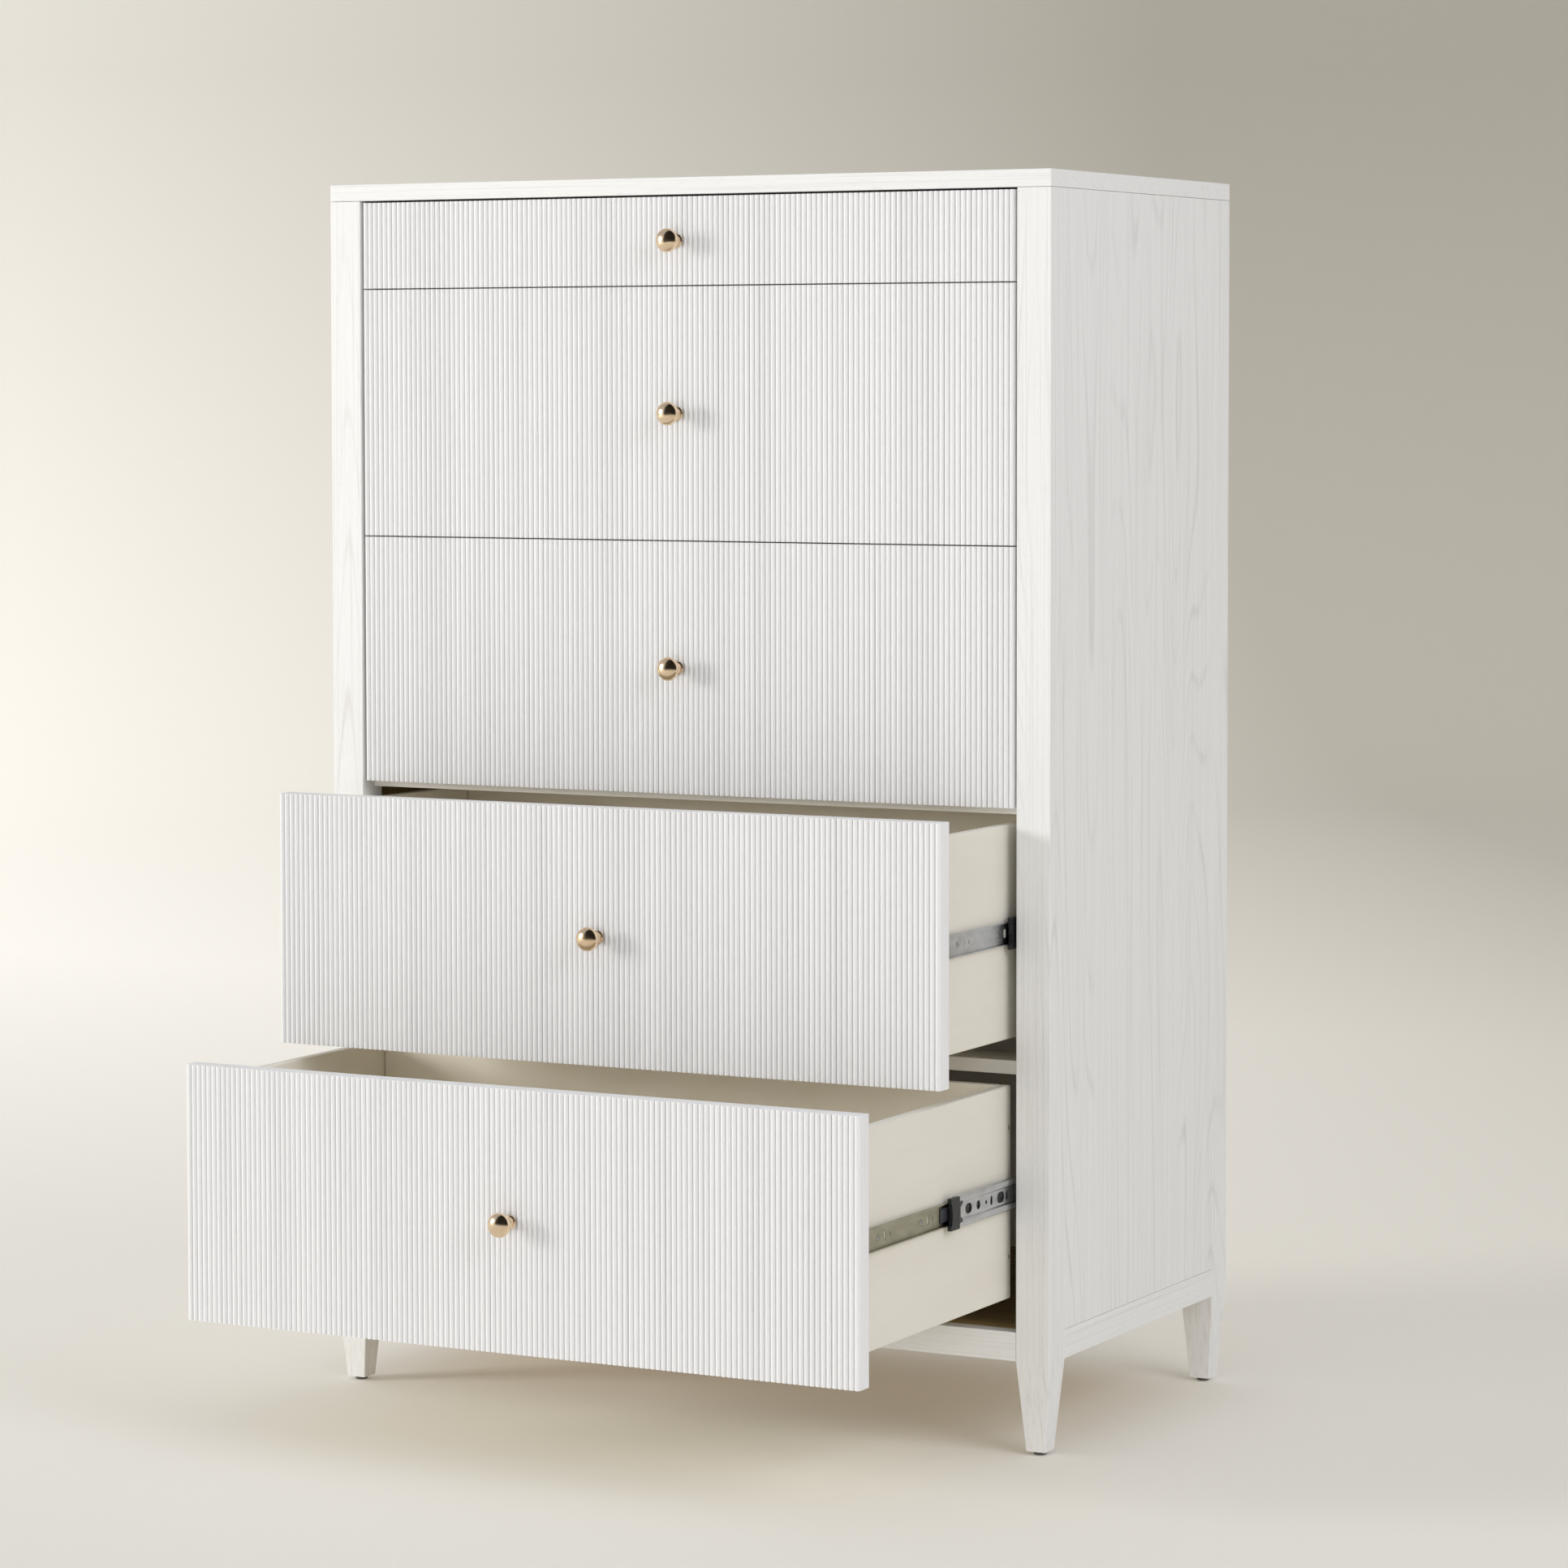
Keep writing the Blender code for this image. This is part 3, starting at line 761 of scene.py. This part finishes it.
def reeded_tree(finish):
    """A board seen from above as an outline of half-round reeds, filled and pushed up."""
    tree, given = new_tree(
        "reeded_front", ("Corner", "Vector"), ("Width", "Float"), ("Height", "Float"), ("Thickness", "Float"),
        ("Reeds", "Int"), ("Points", "Int"), ("Depth", "Float"), ("Groove", "Float"), ("Joint", "Float"),
        ("Seed", "Int"))
    known = {name: given[name] for name in ("Width", "Reeds", "Points", "Depth", "Groove", "Joint")}
    known["index"] = add_node(tree, "GeometryNodeInputIndex")
    for steps in (REED_PLACE, REED_SHAPE):
        for name, operation, first, second in steps:
            values = {0: known.get(first, first), 1: known.get(second, second)}
            known[name] = add_node(tree, "ShaderNodeMath", values, operation=operation)
        if steps is REED_PLACE:
            draw = {"ID": known["reed"], "Seed": given["Seed"], 2: 0.0, 3: 1.0}
            known["chance"] = add_node(tree, "FunctionNodeRandomValue", draw, data_type="FLOAT").outputs[1]
    front = add_node(tree, "ShaderNodeCombineXYZ", {0: known["x"], 1: known["y"]})
    right = add_node(tree, "ShaderNodeCombineXYZ", {0: given["Width"], 1: given["Thickness"]})
    left = add_node(tree, "ShaderNodeCombineXYZ", {1: given["Thickness"]})
    rear = add_node(tree, "ShaderNodeMix", {"Factor": known["corner"], 4: right, 5: left}, data_type="VECTOR")
    place = add_node(
        tree, "ShaderNodeMix", {"Factor": known["behind"], 4: front, 5: rear.outputs[1]}, data_type="VECTOR")
    line = add_node(tree, "GeometryNodeMeshLine", {"Count": known["count"]})
    outline = add_node(tree, "GeometryNodeSetPosition", {"Geometry": line, "Position": place.outputs[1]})
    curve = add_node(tree, "GeometryNodeMeshToCurve", {"Mesh": outline})
    closed = add_node(tree, "GeometryNodeSetSplineCyclic", {"Geometry": curve, "Cyclic": True})
    filled = add_node(tree, "GeometryNodeFillCurve", {"Curve": closed}, mode="NGONS")
    up = add_node(tree, "ShaderNodeCombineXYZ", {2: given["Height"]})
    pushed = add_node(
        tree, "GeometryNodeExtrudeMesh",
        {"Mesh": filled, "Offset": up, "Offset Scale": 1.0, "Individual": False})
    under = add_node(tree, "GeometryNodeFlipFaces", {"Mesh": filled})
    both = add_node(tree, "GeometryNodeJoinGeometry", {0: pushed})
    tree.links.new(under.outputs[0], both.inputs[0])
    shut = add_node(tree, "GeometryNodeMergeByDistance", {"Geometry": both, "Distance": 0.000001})
    moved = add_node(tree, "GeometryNodeSetPosition", {"Geometry": shut, "Offset": given["Corner"]})
    return end_tree(tree, moved, finish)


def rows_tree(name, finish):
    """One shape repeated along a line, and that line repeated along another."""
    tree, given = new_tree(
        name, ("Count", "Int"), ("Step", "Vector"), ("Rows", "Int"), ("Row Step", "Vector"))
    shape = given["Geometry"]
    for count, step in (("Count", "Step"), ("Rows", "Row Step")):
        spacing = {"Count": given[count], "Offset": given[step]}
        line = add_node(tree, "GeometryNodeMeshLine", spacing, mode="OFFSET")
        shape = add_node(
            tree, "GeometryNodeInstanceOnPoints", {"Points": line.outputs[0], "Instance": shape}).outputs[0]
    return end_tree(tree, shape, finish)


def screw_head(name, at, side, radius):
    """A countersunk screw head facing sideways, its cross shown as a small round sunk hollow."""
    x, y, z = at
    profile = [(0.0, -0.5 * MM), (0.34 * radius, -0.5 * MM), (0.42 * radius, 0.42 * MM)]
    profile += [(0.8 * radius, 0.3 * MM), (radius, 0.0), (radius, -0.4 * MM)]
    return smooth(turned(name, profile, (x, y, z), (side, 0, 0), 12), 50)


class CHEST_OT_fronts(bpy.types.Operator):
    """Build the reeded drawer fronts"""

    bl_idname = "chest.fronts"
    bl_label = "Reeded fronts"

    def execute(self, context):
        reeds = context.scene.chest_reeds
        finish = finish_named("sprayed_white_reeds")
        tree = reeded_tree(finish)
        for number in DRAWERS:
            node = f"drawer_front_{number}"
            low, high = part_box(node)
            size = high - low
            low.z -= reeds.reach
            name = f"reeded_front_{number}"
            mesh = made_by_nodes(name, bpy.data.meshes.new(name), tree, {
                "Corner": low, "Width": size.x, "Height": size.z + 2 * reeds.reach, "Thickness": size.y,
                "Reeds": reeds.count, "Points": reeds.points, "Depth": reeds.depth,
                "Groove": reeds.groove, "Joint": reeds.joint, "Seed": number})
            add_piece(name, smooth(mesh), finish, f"drawer_{number}", "white_reeds", node)
        return {"FINISHED"}


BOX_WALL = 12 * MM
BOX_BOTTOM = 6 * MM
# How far the bottom board sits above the walls' lower edges, and how far it goes into their groove
BOTTOM_LIFT = 10 * MM
BOTTOM_GROOVE = 4 * MM
BOTTOM_EDGE = 0.5 * MM
BOX_SCREW_RADIUS = 2.4 * MM
BOX_SCREW_INSET = 46 * MM


class CHEST_OT_boxes(bpy.types.Operator):
    """Build the drawer boxes board by board"""

    bl_idname = "chest.boxes"
    bl_label = "Drawer boxes"

    def execute(self, context):
        edge = context.scene.chest_wood.box_edge
        cream = finish_named("lacquered_cream_birch")
        warm = finish_named("birch_lacquer_painted_bounce")
        screws = rows_tree("box_screws", finish_named("zinc_plated_runner_steel"))
        for number in DRAWERS:
            node = f"drawer_box_{number}"
            body = f"drawer_{number}"
            low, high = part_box(node)
            across = (low.x, low.x + BOX_WALL, high.x - BOX_WALL, high.x)
            deep = (low.y, low.y + BOX_WALL, high.y - BOX_WALL, high.y)
            boards = {
                "left_wall": ((across[0], deep[0], low.z), (across[1], deep[3], high.z)),
                "right_wall": ((across[2], deep[0], low.z), (across[3], deep[3], high.z)),
                "rear_wall": ((across[1], deep[2], low.z), (across[2], deep[3], high.z)),
                "front_wall": ((across[1], deep[0], low.z), (across[2], deep[1], high.z)),
            }
            for word, (start, end) in boards.items():
                name = f"box_{number}_{word}"
                mesh = board(name, start, end, edge)
                mesh.materials.append(cream)
                mesh.materials.append(warm)
                centre = (low + high) / 2
                for face in mesh.polygons:
                    flat = Vector((face.normal.x, face.normal.y, 0.0))
                    # Faces that look towards the box's middle take the copy with painted bounce light.
                    face.material_index = 1 if flat.dot(centre - face.center) > 0.1 else 0
                add_piece(name, mesh, cream, body, "cream_wood", node)
            name = f"box_{number}_bottom"
            rest = low.z + BOTTOM_LIFT
            mesh = board(
                name,
                (across[1] - BOTTOM_GROOVE, deep[1] - BOTTOM_GROOVE, rest),
                (across[2] + BOTTOM_GROOVE, deep[2] + BOTTOM_GROOVE, rest + BOX_BOTTOM),
                BOTTOM_EDGE)
            # The bottom board takes the copy with painted bounce light all over.
            add_piece(name, mesh, warm, body, "cream_wood", node)
            inset = min(BOX_SCREW_INSET, (high.z - low.z) / 4)
            for word, side in SIDES:
                at = (low.x if side < 0 else high.x, high.y - BOX_WALL / 2, low.z + inset)
                name = f"box_{number}_{word}_screws"
                mesh = made_by_nodes(name, screw_head(name, at, side, BOX_SCREW_RADIUS), screws, {
                    "Count": 2, "Step": (0, 0, high.z - low.z - 2 * inset), "Rows": 2,
                    "Row Step": (0, low.y - high.y + BOX_WALL, 0)})
                add_piece(name, smooth(mesh, 50), None, body, "runner_steel")
        return {"FINISHED"}


# The knob's foot and neck, as (radius, distance from the front) in millimetres
KNOB_FOOT = (
    (0.0, 0.0), (7.4, 0.0), (7.8, 0.4), (7.8, 1.3), (7.3, 1.9), (6.2, 2.2), (6.4, 3.6), (6.1, 5.0),
    (5.2, 6.6), (4.4, 8.0), (4.2, 10.0),
)
# The ball is a little flatter than round. It starts where it meets the neck.
BALL_HALF_DEPTH = 8.2 * MM
BALL_START = 0.14 * math.pi
BALL_STEPS = 28


class CHEST_OT_knobs(bpy.types.Operator):
    """Build the turned ball knobs"""

    bl_idname = "chest.knobs"
    bl_label = "Knobs"

    def execute(self, context):
        knobs = context.scene.chest_knobs
        finish = finish_named("polished_champagne_brass")
        for number in DRAWERS:
            node = f"knob_{number}"
            low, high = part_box(node)
            middle = (low + high) / 2
            radius = (high.x - low.x) / 2
            reach = high.y - low.y
            stand = reach - BALL_HALF_DEPTH
            profile = [(r * MM, h * MM) for r, h in KNOB_FOOT]
            for i in range(BALL_STEPS):
                turn = BALL_START + (math.pi - BALL_START) * i / BALL_STEPS
                profile.append((radius * math.sin(turn), stand - BALL_HALF_DEPTH * math.cos(turn)))
            profile.append((0.0, reach))
            mesh = turned(node, profile, (middle.x, high.y, middle.z), (0, -1, 0), knobs.steps)
            add_piece(f"ball_knob_{number}", smooth(mesh, 40), finish, f"drawer_{number}", "knob_brass", node)
        return {"FINISHED"}


# ---------------------------------------------------------------------------
# Runners


def hole_shape(kind, y, z, x, depth):
    """A closed cutter through a web: a round hole, an upright slot or a square one."""
    width, height = kind
    corner = min(width, height) / 2 * (0.999 if width != height or width < 9 * MM else 0.35)
    outline = []
    for cy, cz, start in ((1, 1, 0.0), (-1, 1, 0.5), (-1, -1, 1.0), (1, -1, 1.5)):
        for i in range(4):
            turn = (start + i / 6) * math.pi
            outline.append((
                y + cy * (width / 2 - corner) + corner * math.cos(turn),
                z + cz * (height / 2 - corner) + corner * math.sin(turn)))
    return extrusion("cutter", outline, 0, x - depth, x + depth)


def punched(name, mesh, cutters, finish):
    """A steel member with holes punched through it."""
    tree, given = new_tree("punched_steel", ("Holes", "Object"))
    found = add_node(tree, "GeometryNodeObjectInfo", {"Object": given["Holes"]})
    cut = add_node(tree, "GeometryNodeMeshBoolean", {"Mesh 1": given["Geometry"]}, operation="DIFFERENCE")
    tree.links.new(found.outputs["Geometry"], cut.inputs["Mesh 2"])
    end_tree(tree, cut.outputs[0], finish)
    work = bmesh.new()
    for cutter in cutters:
        work.from_mesh(cutter)
    holes = bpy.data.objects.new(name + "_holes", finish_mesh(name + "_holes", work))
    bpy.context.scene.collection.objects.link(holes)
    result = made_by_nodes(name, mesh, tree, {"Holes": holes})
    bpy.data.objects.remove(holes, do_unlink=True)
    return result


def member_profiles(steel):
    """The three members in section: (x from the box side, z), upper end first."""
    half = steel / 2
    inner = [(5.0 * MM, 11.9 * MM), (0.3 * MM + half, 11.9 * MM)]
    middle = [(2.4 * MM, 12.9 * MM), (2.4 * MM, 16.4 * MM), (7.6 * MM, 16.4 * MM), (7.6 * MM, 10.2 * MM)]
    middle.append((5.3 * MM, 8.8 * MM))
    outer = [(3.6 * MM, 17.6 * MM), (3.6 * MM, 21.9 * MM), (12.1 * MM, 21.9 * MM)]
    return {
        word: half_line + [(x, -z) for x, z in reversed(half_line)]
        for word, half_line in (("inner", inner), ("middle", middle), ("outer", outer))
    }


# Hole sizes along the member and upright
ROUND_HOLE = (7.0 * MM, 7.0 * MM)
SMALL_HOLE = (4.4 * MM, 4.4 * MM)
UPRIGHT_SLOT = (5.0 * MM, 10.0 * MM)
WIDE_HOLE = (16.0 * MM, 11.0 * MM)
BROAD_SLOT = (9.0 * MM, 10.0 * MM)
SQUARE_HOLE = (18.0 * MM, 12.0 * MM)
# Distance of each hole from the member's front end
INNER_HOLES = (
    (36, ROUND_HOLE), (52, UPRIGHT_SLOT), (63, SMALL_HOLE),
    (135, ROUND_HOLE), (152, UPRIGHT_SLOT), (162, SMALL_HOLE),
    (260, ROUND_HOLE), (276, UPRIGHT_SLOT), (330, ROUND_HOLE), (342, SMALL_HOLE),
)
MIDDLE_HOLES = (
    (50, WIDE_HOLE), (74, BROAD_SLOT), (93, SMALL_HOLE), (106, UPRIGHT_SLOT), (129, SQUARE_HOLE),
    (144, UPRIGHT_SLOT), (205, WIDE_HOLE), (240, UPRIGHT_SLOT), (270, SMALL_HOLE),
)
OUTER_HOLES = (
    (30, ROUND_HOLE), (62, UPRIGHT_SLOT), (94, ROUND_HOLE), (222, UPRIGHT_SLOT), (254, ROUND_HOLE),
    (318, ROUND_HOLE), (334, SMALL_HOLE),
)


def clip_mesh(name, length):
    """The plastic clip that guides the balls: a block with a waist and a toothed rear edge."""
    half = 17.2 * MM
    tooth = 1.4 * MM
    rear = []
    marks = ((1.0, 0.0), (0.72, 0.0), (0.66, 1.0), (0.5, 1.0), (0.4, -0.6), (0.22, -0.6), (0.14, 0.6))
    for z, push in marks:
        rear.append((length + push * tooth, z * half))
    rear += [(y, -z) for y, z in reversed(rear)]
    front = [(0.0, -half), (0.0, -0.72 * half), (2.2 * MM, -0.6 * half), (3.6 * MM, 0.0)]
    front += [(2.2 * MM, 0.6 * half), (0.0, 0.72 * half), (0.0, half)]
    mesh = extrusion(name, rear + front, 0, 0.0, 4.8 * MM)
    work = bmesh.new()
    work.from_mesh(mesh)
    bpy.data.meshes.remove(mesh)
    bmesh.ops.bevel(work, geom=work.edges[:], offset=0.35 * MM, segments=1, affect="EDGES")
    return finish_mesh(name, work)


def bracket_mesh(name, start):
    """The C-shaped steel stop behind the clip, its mouth towards the rear."""
    half = 11.5 * MM
    depth = 9.0 * MM
    gauge = 3.6 * MM
    lip = 3.0 * MM
    outline = [(start, -half), (start + depth, -half), (start + depth, -half + lip)]
    outline += [(start + gauge, -half + lip + gauge), (start + gauge, half - lip - gauge)]
    outline += [(start + depth, half - lip), (start + depth, half), (start, half)]
    return extrusion(name, outline, 0, 5.9 * MM, 8.6 * MM)


# Radius of the bends in the rolled steel
MEMBER_BEND = 1.3 * MM
# How far the middle member goes into its clip, and where the C-shaped stop starts behind the clip
CLIP_GRIP = 3 * MM
STOP_GAP = 0.6 * MM
# The clip's inner face, measured out from the box's side
CLIP_AT = 5.25 * MM
# Where each member's web is, measured out from the box's side, and how far a cutter goes to each side of it
WEBS = {"inner": 0.9 * MM, "middle": 5.3 * MM, "outer": 12.1 * MM}
PUNCH = 1.6 * MM
HOLES = {"inner": INNER_HOLES, "middle": MIDDLE_HOLES, "outer": OUTER_HOLES}
# Opposite corners of the release lever and of the ball cage, from the member's front end
LEVER = ((1.5 * MM, 179 * MM, -7.5 * MM), (2.9 * MM, 205 * MM, 7.5 * MM))
CAGE = ((3.1 * MM, 28 * MM, -8.2 * MM), (4.3 * MM, 285 * MM, 8.2 * MM))
BALLS_IN_ROW = 11
BALL_SPACING = 10 * MM


class CHEST_OT_runners(bpy.types.Operator):
    """Build the runners: rolled members, clips, levers, balls and screws"""

    bl_idname = "chest.runners"
    bl_label = "Ball-bearing runners"

    def execute(self, context):
        runners = context.scene.chest_runners
        steel = finish_named("zinc_plated_runner_steel")
        black = finish_named("moulded_black_nylon")
        grey = finish_named("moulded_grey_nylon")
        balls = rows_tree("runner_balls", finish_named("zinc_plated_balls"))
        screws = rows_tree("runner_screws", finish_named("zinc_plated_balls"))
        lengths = {word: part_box(f"{word}_runner_1_right") for word in ("inner", "middle", "outer")}
        lengths = {word: high.y - low.y for word, (low, high) in lengths.items()}
        members = {}
        for word, line in member_profiles(runners.steel).items():
            outline = rolled(line, MEMBER_BEND, runners.steel)
            start = runners.clip - CLIP_GRIP if word == "middle" else 0.0
            blank = extrusion(word + "_member", outline, 1, start, lengths[word])
            cutters = [hole_shape(kind, at * MM, 0.0, WEBS[word], PUNCH) for at, kind in HOLES[word]]
            members[word] = smooth(punched(word + "_member", blank, cutters, steel), 30)
        clip = clip_mesh("runner_clip", runners.clip)
        bracket = bracket_mesh("runner_bracket", runners.clip + STOP_GAP)
        lever = board("runner_lever", *LEVER, 0.5 * MM)
        cage = board("ball_cage", *CAGE, 0.3 * MM)
        for number in DRAWERS:
            for word, side in SIDES:
                tag = f"{number}_{word}"
                box_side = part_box(f"drawer_box_{number}")[0 if side < 0 else 1].x
                bodies = {
                    "inner": f"drawer_{number}", "middle": f"middle_runners_{number}", "outer": "carcass"}
                places = {}
                for member, body in bodies.items():
                    node = f"{member}_runner_{tag}"
                    low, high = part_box(node)
                    places[member] = (box_side, low.y, (low.z + high.z) / 2)
                    mesh = self.placed(members[member], places[member], side)
                    # Only the lowest drawer's inner members take the olive grey.
                    if member == "inner" and number == DRAWERS[-1]:
                        for place in range(len(mesh.materials)):
                            mesh.materials[place] = finish_named("olive_grey_runner_steel")
                    add_piece(f"{member}_member_{tag}", mesh, steel, body, "runner_steel", node)
                shift = Matrix.Translation((CLIP_AT, 0.0, 0.0))
                mesh = self.placed(clip, places["middle"], side, shift)
                add_piece(f"runner_clip_{tag}", mesh, black, bodies["middle"], "runner_steel")
                mesh = self.placed(bracket, places["middle"], side)
                add_piece(f"runner_bracket_{tag}", mesh, grey, bodies["middle"], "runner_steel")
                mesh = self.placed(cage, places["middle"], side)
                add_piece(f"ball_cage_{tag}", mesh, black, bodies["middle"], "runner_steel")
                mesh = self.placed(lever, places["inner"], side)
                add_piece(f"runner_lever_{tag}", mesh, grey, bodies["inner"], "runner_steel")
                self.ball_rows(tag, places["middle"], side, runners.ball, balls, bodies["middle"])
                self.screw_row(tag, places["inner"], side, screws, bodies["inner"])
        return {"FINISHED"}

    def placed(self, mesh, place, side, first=None):
        """A copy of a right-hand mesh at its place, turned over for the left side."""
        made = mesh.copy()
        if first:
            made.transform(first)
        made.transform(Matrix.Diagonal((side, 1.0, 1.0, 1.0)))
        if side < 0:
            made.flip_normals()
        made.transform(Matrix.Translation(place))
        return made

    def ball_rows(self, tag, place, side, radius, tree, body):
        """Two rows of balls between each pair of members."""
        rows = (
            ("inner", radius, 4.5 * MM, 14.2 * MM, 30 * MM),
            ("outer", 1.7 * MM, 7.8 * MM, 19.1 * MM, 184 * MM),
        )
        for word, ball, x, z, start in rows:
            name = f"{word}_balls_{tag}"
            at = Vector(place) + Vector((side * x, start, -z))
            work = bmesh.new()
            bmesh.ops.create_uvsphere(work, u_segments=8, v_segments=6, radius=ball)
            bmesh.ops.translate(work, verts=work.verts, vec=at)
            one = finish_mesh(name, work)
            mesh = made_by_nodes(name, one, tree, {
                "Count": BALLS_IN_ROW, "Step": (0, BALL_SPACING, 0), "Rows": 2, "Row Step": (0, 0, 2 * z)})
            add_piece(name, smooth(mesh, 60), None, body, "runner_steel")

    def screw_row(self, tag, place, side, tree, body):
        """The screws that hold the drawer member to the box."""
        name = f"runner_screws_{tag}"
        x, y, z = place
        head = screw_head(name, (x + side * 1.6 * MM, y + 36 * MM, z), side, 2.9 * MM)
        mesh = made_by_nodes(name, head, tree, {
            "Count": 2, "Step": (0, 99 * MM, 0), "Rows": 2, "Row Step": (0, 195 * MM, 0)})
        add_piece(name, smooth(mesh, 50), None, body, "runner_steel")


# ---------------------------------------------------------------------------
# Studio


def bowl_mesh(name, floor, cove, top):
    """A round floor that turns up into a low wall, so that no horizon shows."""
    profile = [(0.0, 0.0), (floor, 0.0)]
    steps = 14
    for i in range(1, steps + 1):
        turn = math.pi / 2 * i / steps
        profile.append((floor + cove * math.sin(turn), cove - cove * math.cos(turn)))
    profile.append((floor + cove, top))
    mesh = turned(name, profile, (0, 0, 0), (0, 0, 1), 96)
    mesh.flip_normals()
    mesh.shade_smooth()
    return mesh


def aim(obj, at, target):
    """Places an object so that its -Z looks at a point."""
    obj.location = at
    obj.rotation_euler = (Vector(target) - Vector(at)).to_track_quat("-Z", "Y").to_euler()


FLOOR_RADIUS = 8.0
COVE_RADIUS = 3.5
WALL_TOP = 4.6
CARD_RADIUS = 6.5
# The dark card's spread from the front towards the right, and from the floor up, in degrees
CARD_TURN = (-28.0, 110.0)
CARD_RISE = (1.0, 88.0)


class CHEST_OT_studio(bpy.types.Operator):
    """Build the pale floor, the soft lights and the camera"""

    bl_idname = "chest.studio"
    bl_label = "Studio"

    def execute(self, context):
        scene = context.scene
        studio = scene.chest_studio
        right = Vector((math.cos(studio.turn), math.sin(studio.turn), 0.0))
        bowl = bowl_mesh("studio_floor", FLOOR_RADIUS, COVE_RADIUS, WALL_TOP)
        floor = bpy.data.objects.new("studio_floor", bowl)
        scene.collection.objects.link(floor)
        floor.data.materials.append(seamless_paper("seamless_paper", studio))
        self.light(scene, "key_light", studio.key_at, (0.0, 0.0, 0.6), (2.7, 2.3), studio.key, "#FFFEFC")
        self.light(scene, "low_light", (0.8, -6.2, 0.6), (0.0, 0.0, 0.3), (4.0, 0.9), studio.low, "#FFFEFC")
        self.light(scene, "fill_light", (4.2, -1.4, 2.6), (0.2, 0.1, 0.7), (3.0, 3.0), studio.fill, "#F3F6FF")
        self.dark_card(scene)
        world = bpy.data.worlds.new("soft_room")
        scene.world = world
        world.use_nodes = True
        shade = world.node_tree.nodes["Background"]
        shade.inputs["Color"].default_value = linear("#FBFBFD")
        shade.inputs["Strength"].default_value = studio.sky
        self.camera(scene, studio, right)
        scene.view_settings.view_transform = "Standard"
        return {"FINISHED"}

    def dark_card(self, scene):
        """A dark shell over the camera's side, seen in reflections only, as in a darkened studio."""
        work = bmesh.new()
        rows = []
        for i in range(9):
            rise = math.radians(CARD_RISE[0] + (CARD_RISE[1] - CARD_RISE[0]) * i / 8)
            row = []
            for j in range(13):
                turn = math.radians(CARD_TURN[0] + (CARD_TURN[1] - CARD_TURN[0]) * j / 12)
                place = Vector((
                    math.sin(turn) * math.cos(rise), -math.cos(turn) * math.cos(rise), math.sin(rise)))
                row.append(work.verts.new(place * CARD_RADIUS))
            rows.append(row)
        for lower, upper in zip(rows, rows[1:]):
            for j in range(len(lower) - 1):
                work.faces.new((lower[j], upper[j], upper[j + 1], lower[j + 1]))
        mesh = finish_mesh("dark_card", work)
        mesh.materials.append(finish_named("black_studio_cloth"))
        card = bpy.data.objects.new("dark_card", mesh)
        scene.collection.objects.link(card)
        for kind in ("camera", "diffuse", "transmission", "volume_scatter", "shadow"):
            setattr(card, "visible_" + kind, False)

    def light(self, scene, name, at, target, size, power, colour):
        data = bpy.data.lights.new(name, "AREA")
        data.shape = "RECTANGLE"
        data.size, data.size_y = size
        data.energy = power
        data.color = linear(colour)[:3]
        lamp = bpy.data.objects.new(name, data)
        scene.collection.objects.link(lamp)
        lamp.visible_camera = False
        lamp.visible_glossy = name == "key_light"
        aim(lamp, at, target)

    def camera(self, scene, studio, right):
        """Looks along the fitted direction; the lens shift stands for a level view cropped off centre."""
        up = Vector((0.0, 0.0, 1.0))
        ahead = Vector((-math.sin(studio.turn), math.cos(studio.turn), 0.0))
        forward = ahead * math.cos(studio.tilt) - up * math.sin(studio.tilt)
        top = up * math.cos(studio.tilt) + ahead * math.sin(studio.tilt)
        side = right * math.cos(studio.roll) + top * math.sin(studio.roll)
        rise = top * math.cos(studio.roll) - right * math.sin(studio.roll)
        turn = Matrix((side, rise, -forward)).transposed().to_4x4()
        data = bpy.data.cameras.new("camera")
        data.sensor_width = 36.0
        data.lens = studio.lens
        data.shift_y = studio.shift
        data.clip_end = 100.0
        camera = bpy.data.objects.new("camera", data)
        scene.collection.objects.link(camera)
        camera.matrix_world = Matrix.Translation(Vector(studio.eye)) @ turn
        scene.camera = camera


class CHEST_PT_panel(bpy.types.Panel):
    """The chest's pieces and the studio"""

    bl_idname = "CHEST_PT_panel"
    bl_label = "Tall reeded chest"
    bl_space_type = "VIEW_3D"
    bl_region_type = "UI"
    bl_category = "Chest"

    def draw(self, context):
        for label, kind in SETTINGS:
            box = self.layout.box()
            box.label(text=kind.__doc__)
            for name in kind.__annotations__:
                box.prop(getattr(context.scene, label), name)
        for operator in OPERATORS:
            self.layout.operator(operator.bl_idname)


OPERATORS = (
    CHEST_OT_posts, CHEST_OT_carcass, CHEST_OT_fronts, CHEST_OT_boxes, CHEST_OT_knobs, CHEST_OT_runners,
    CHEST_OT_studio,
)


def register():
    for label, kind in SETTINGS:
        bpy.utils.register_class(kind)
        setattr(bpy.types.Scene, label, PointerProperty(type=kind))
    for kind in OPERATORS + (CHEST_PT_panel,):
        bpy.utils.register_class(kind)


def unregister():
    for kind in (CHEST_PT_panel,) + OPERATORS[::-1]:
        bpy.utils.unregister_class(kind)
    for label, kind in reversed(SETTINGS):
        delattr(bpy.types.Scene, label)
        bpy.utils.unregister_class(kind)


def main():
    register()
    for operator in OPERATORS:
        group, name = operator.bl_idname.split(".")
        getattr(getattr(bpy.ops, group), name)()


if __name__ == "__main__":
    main()
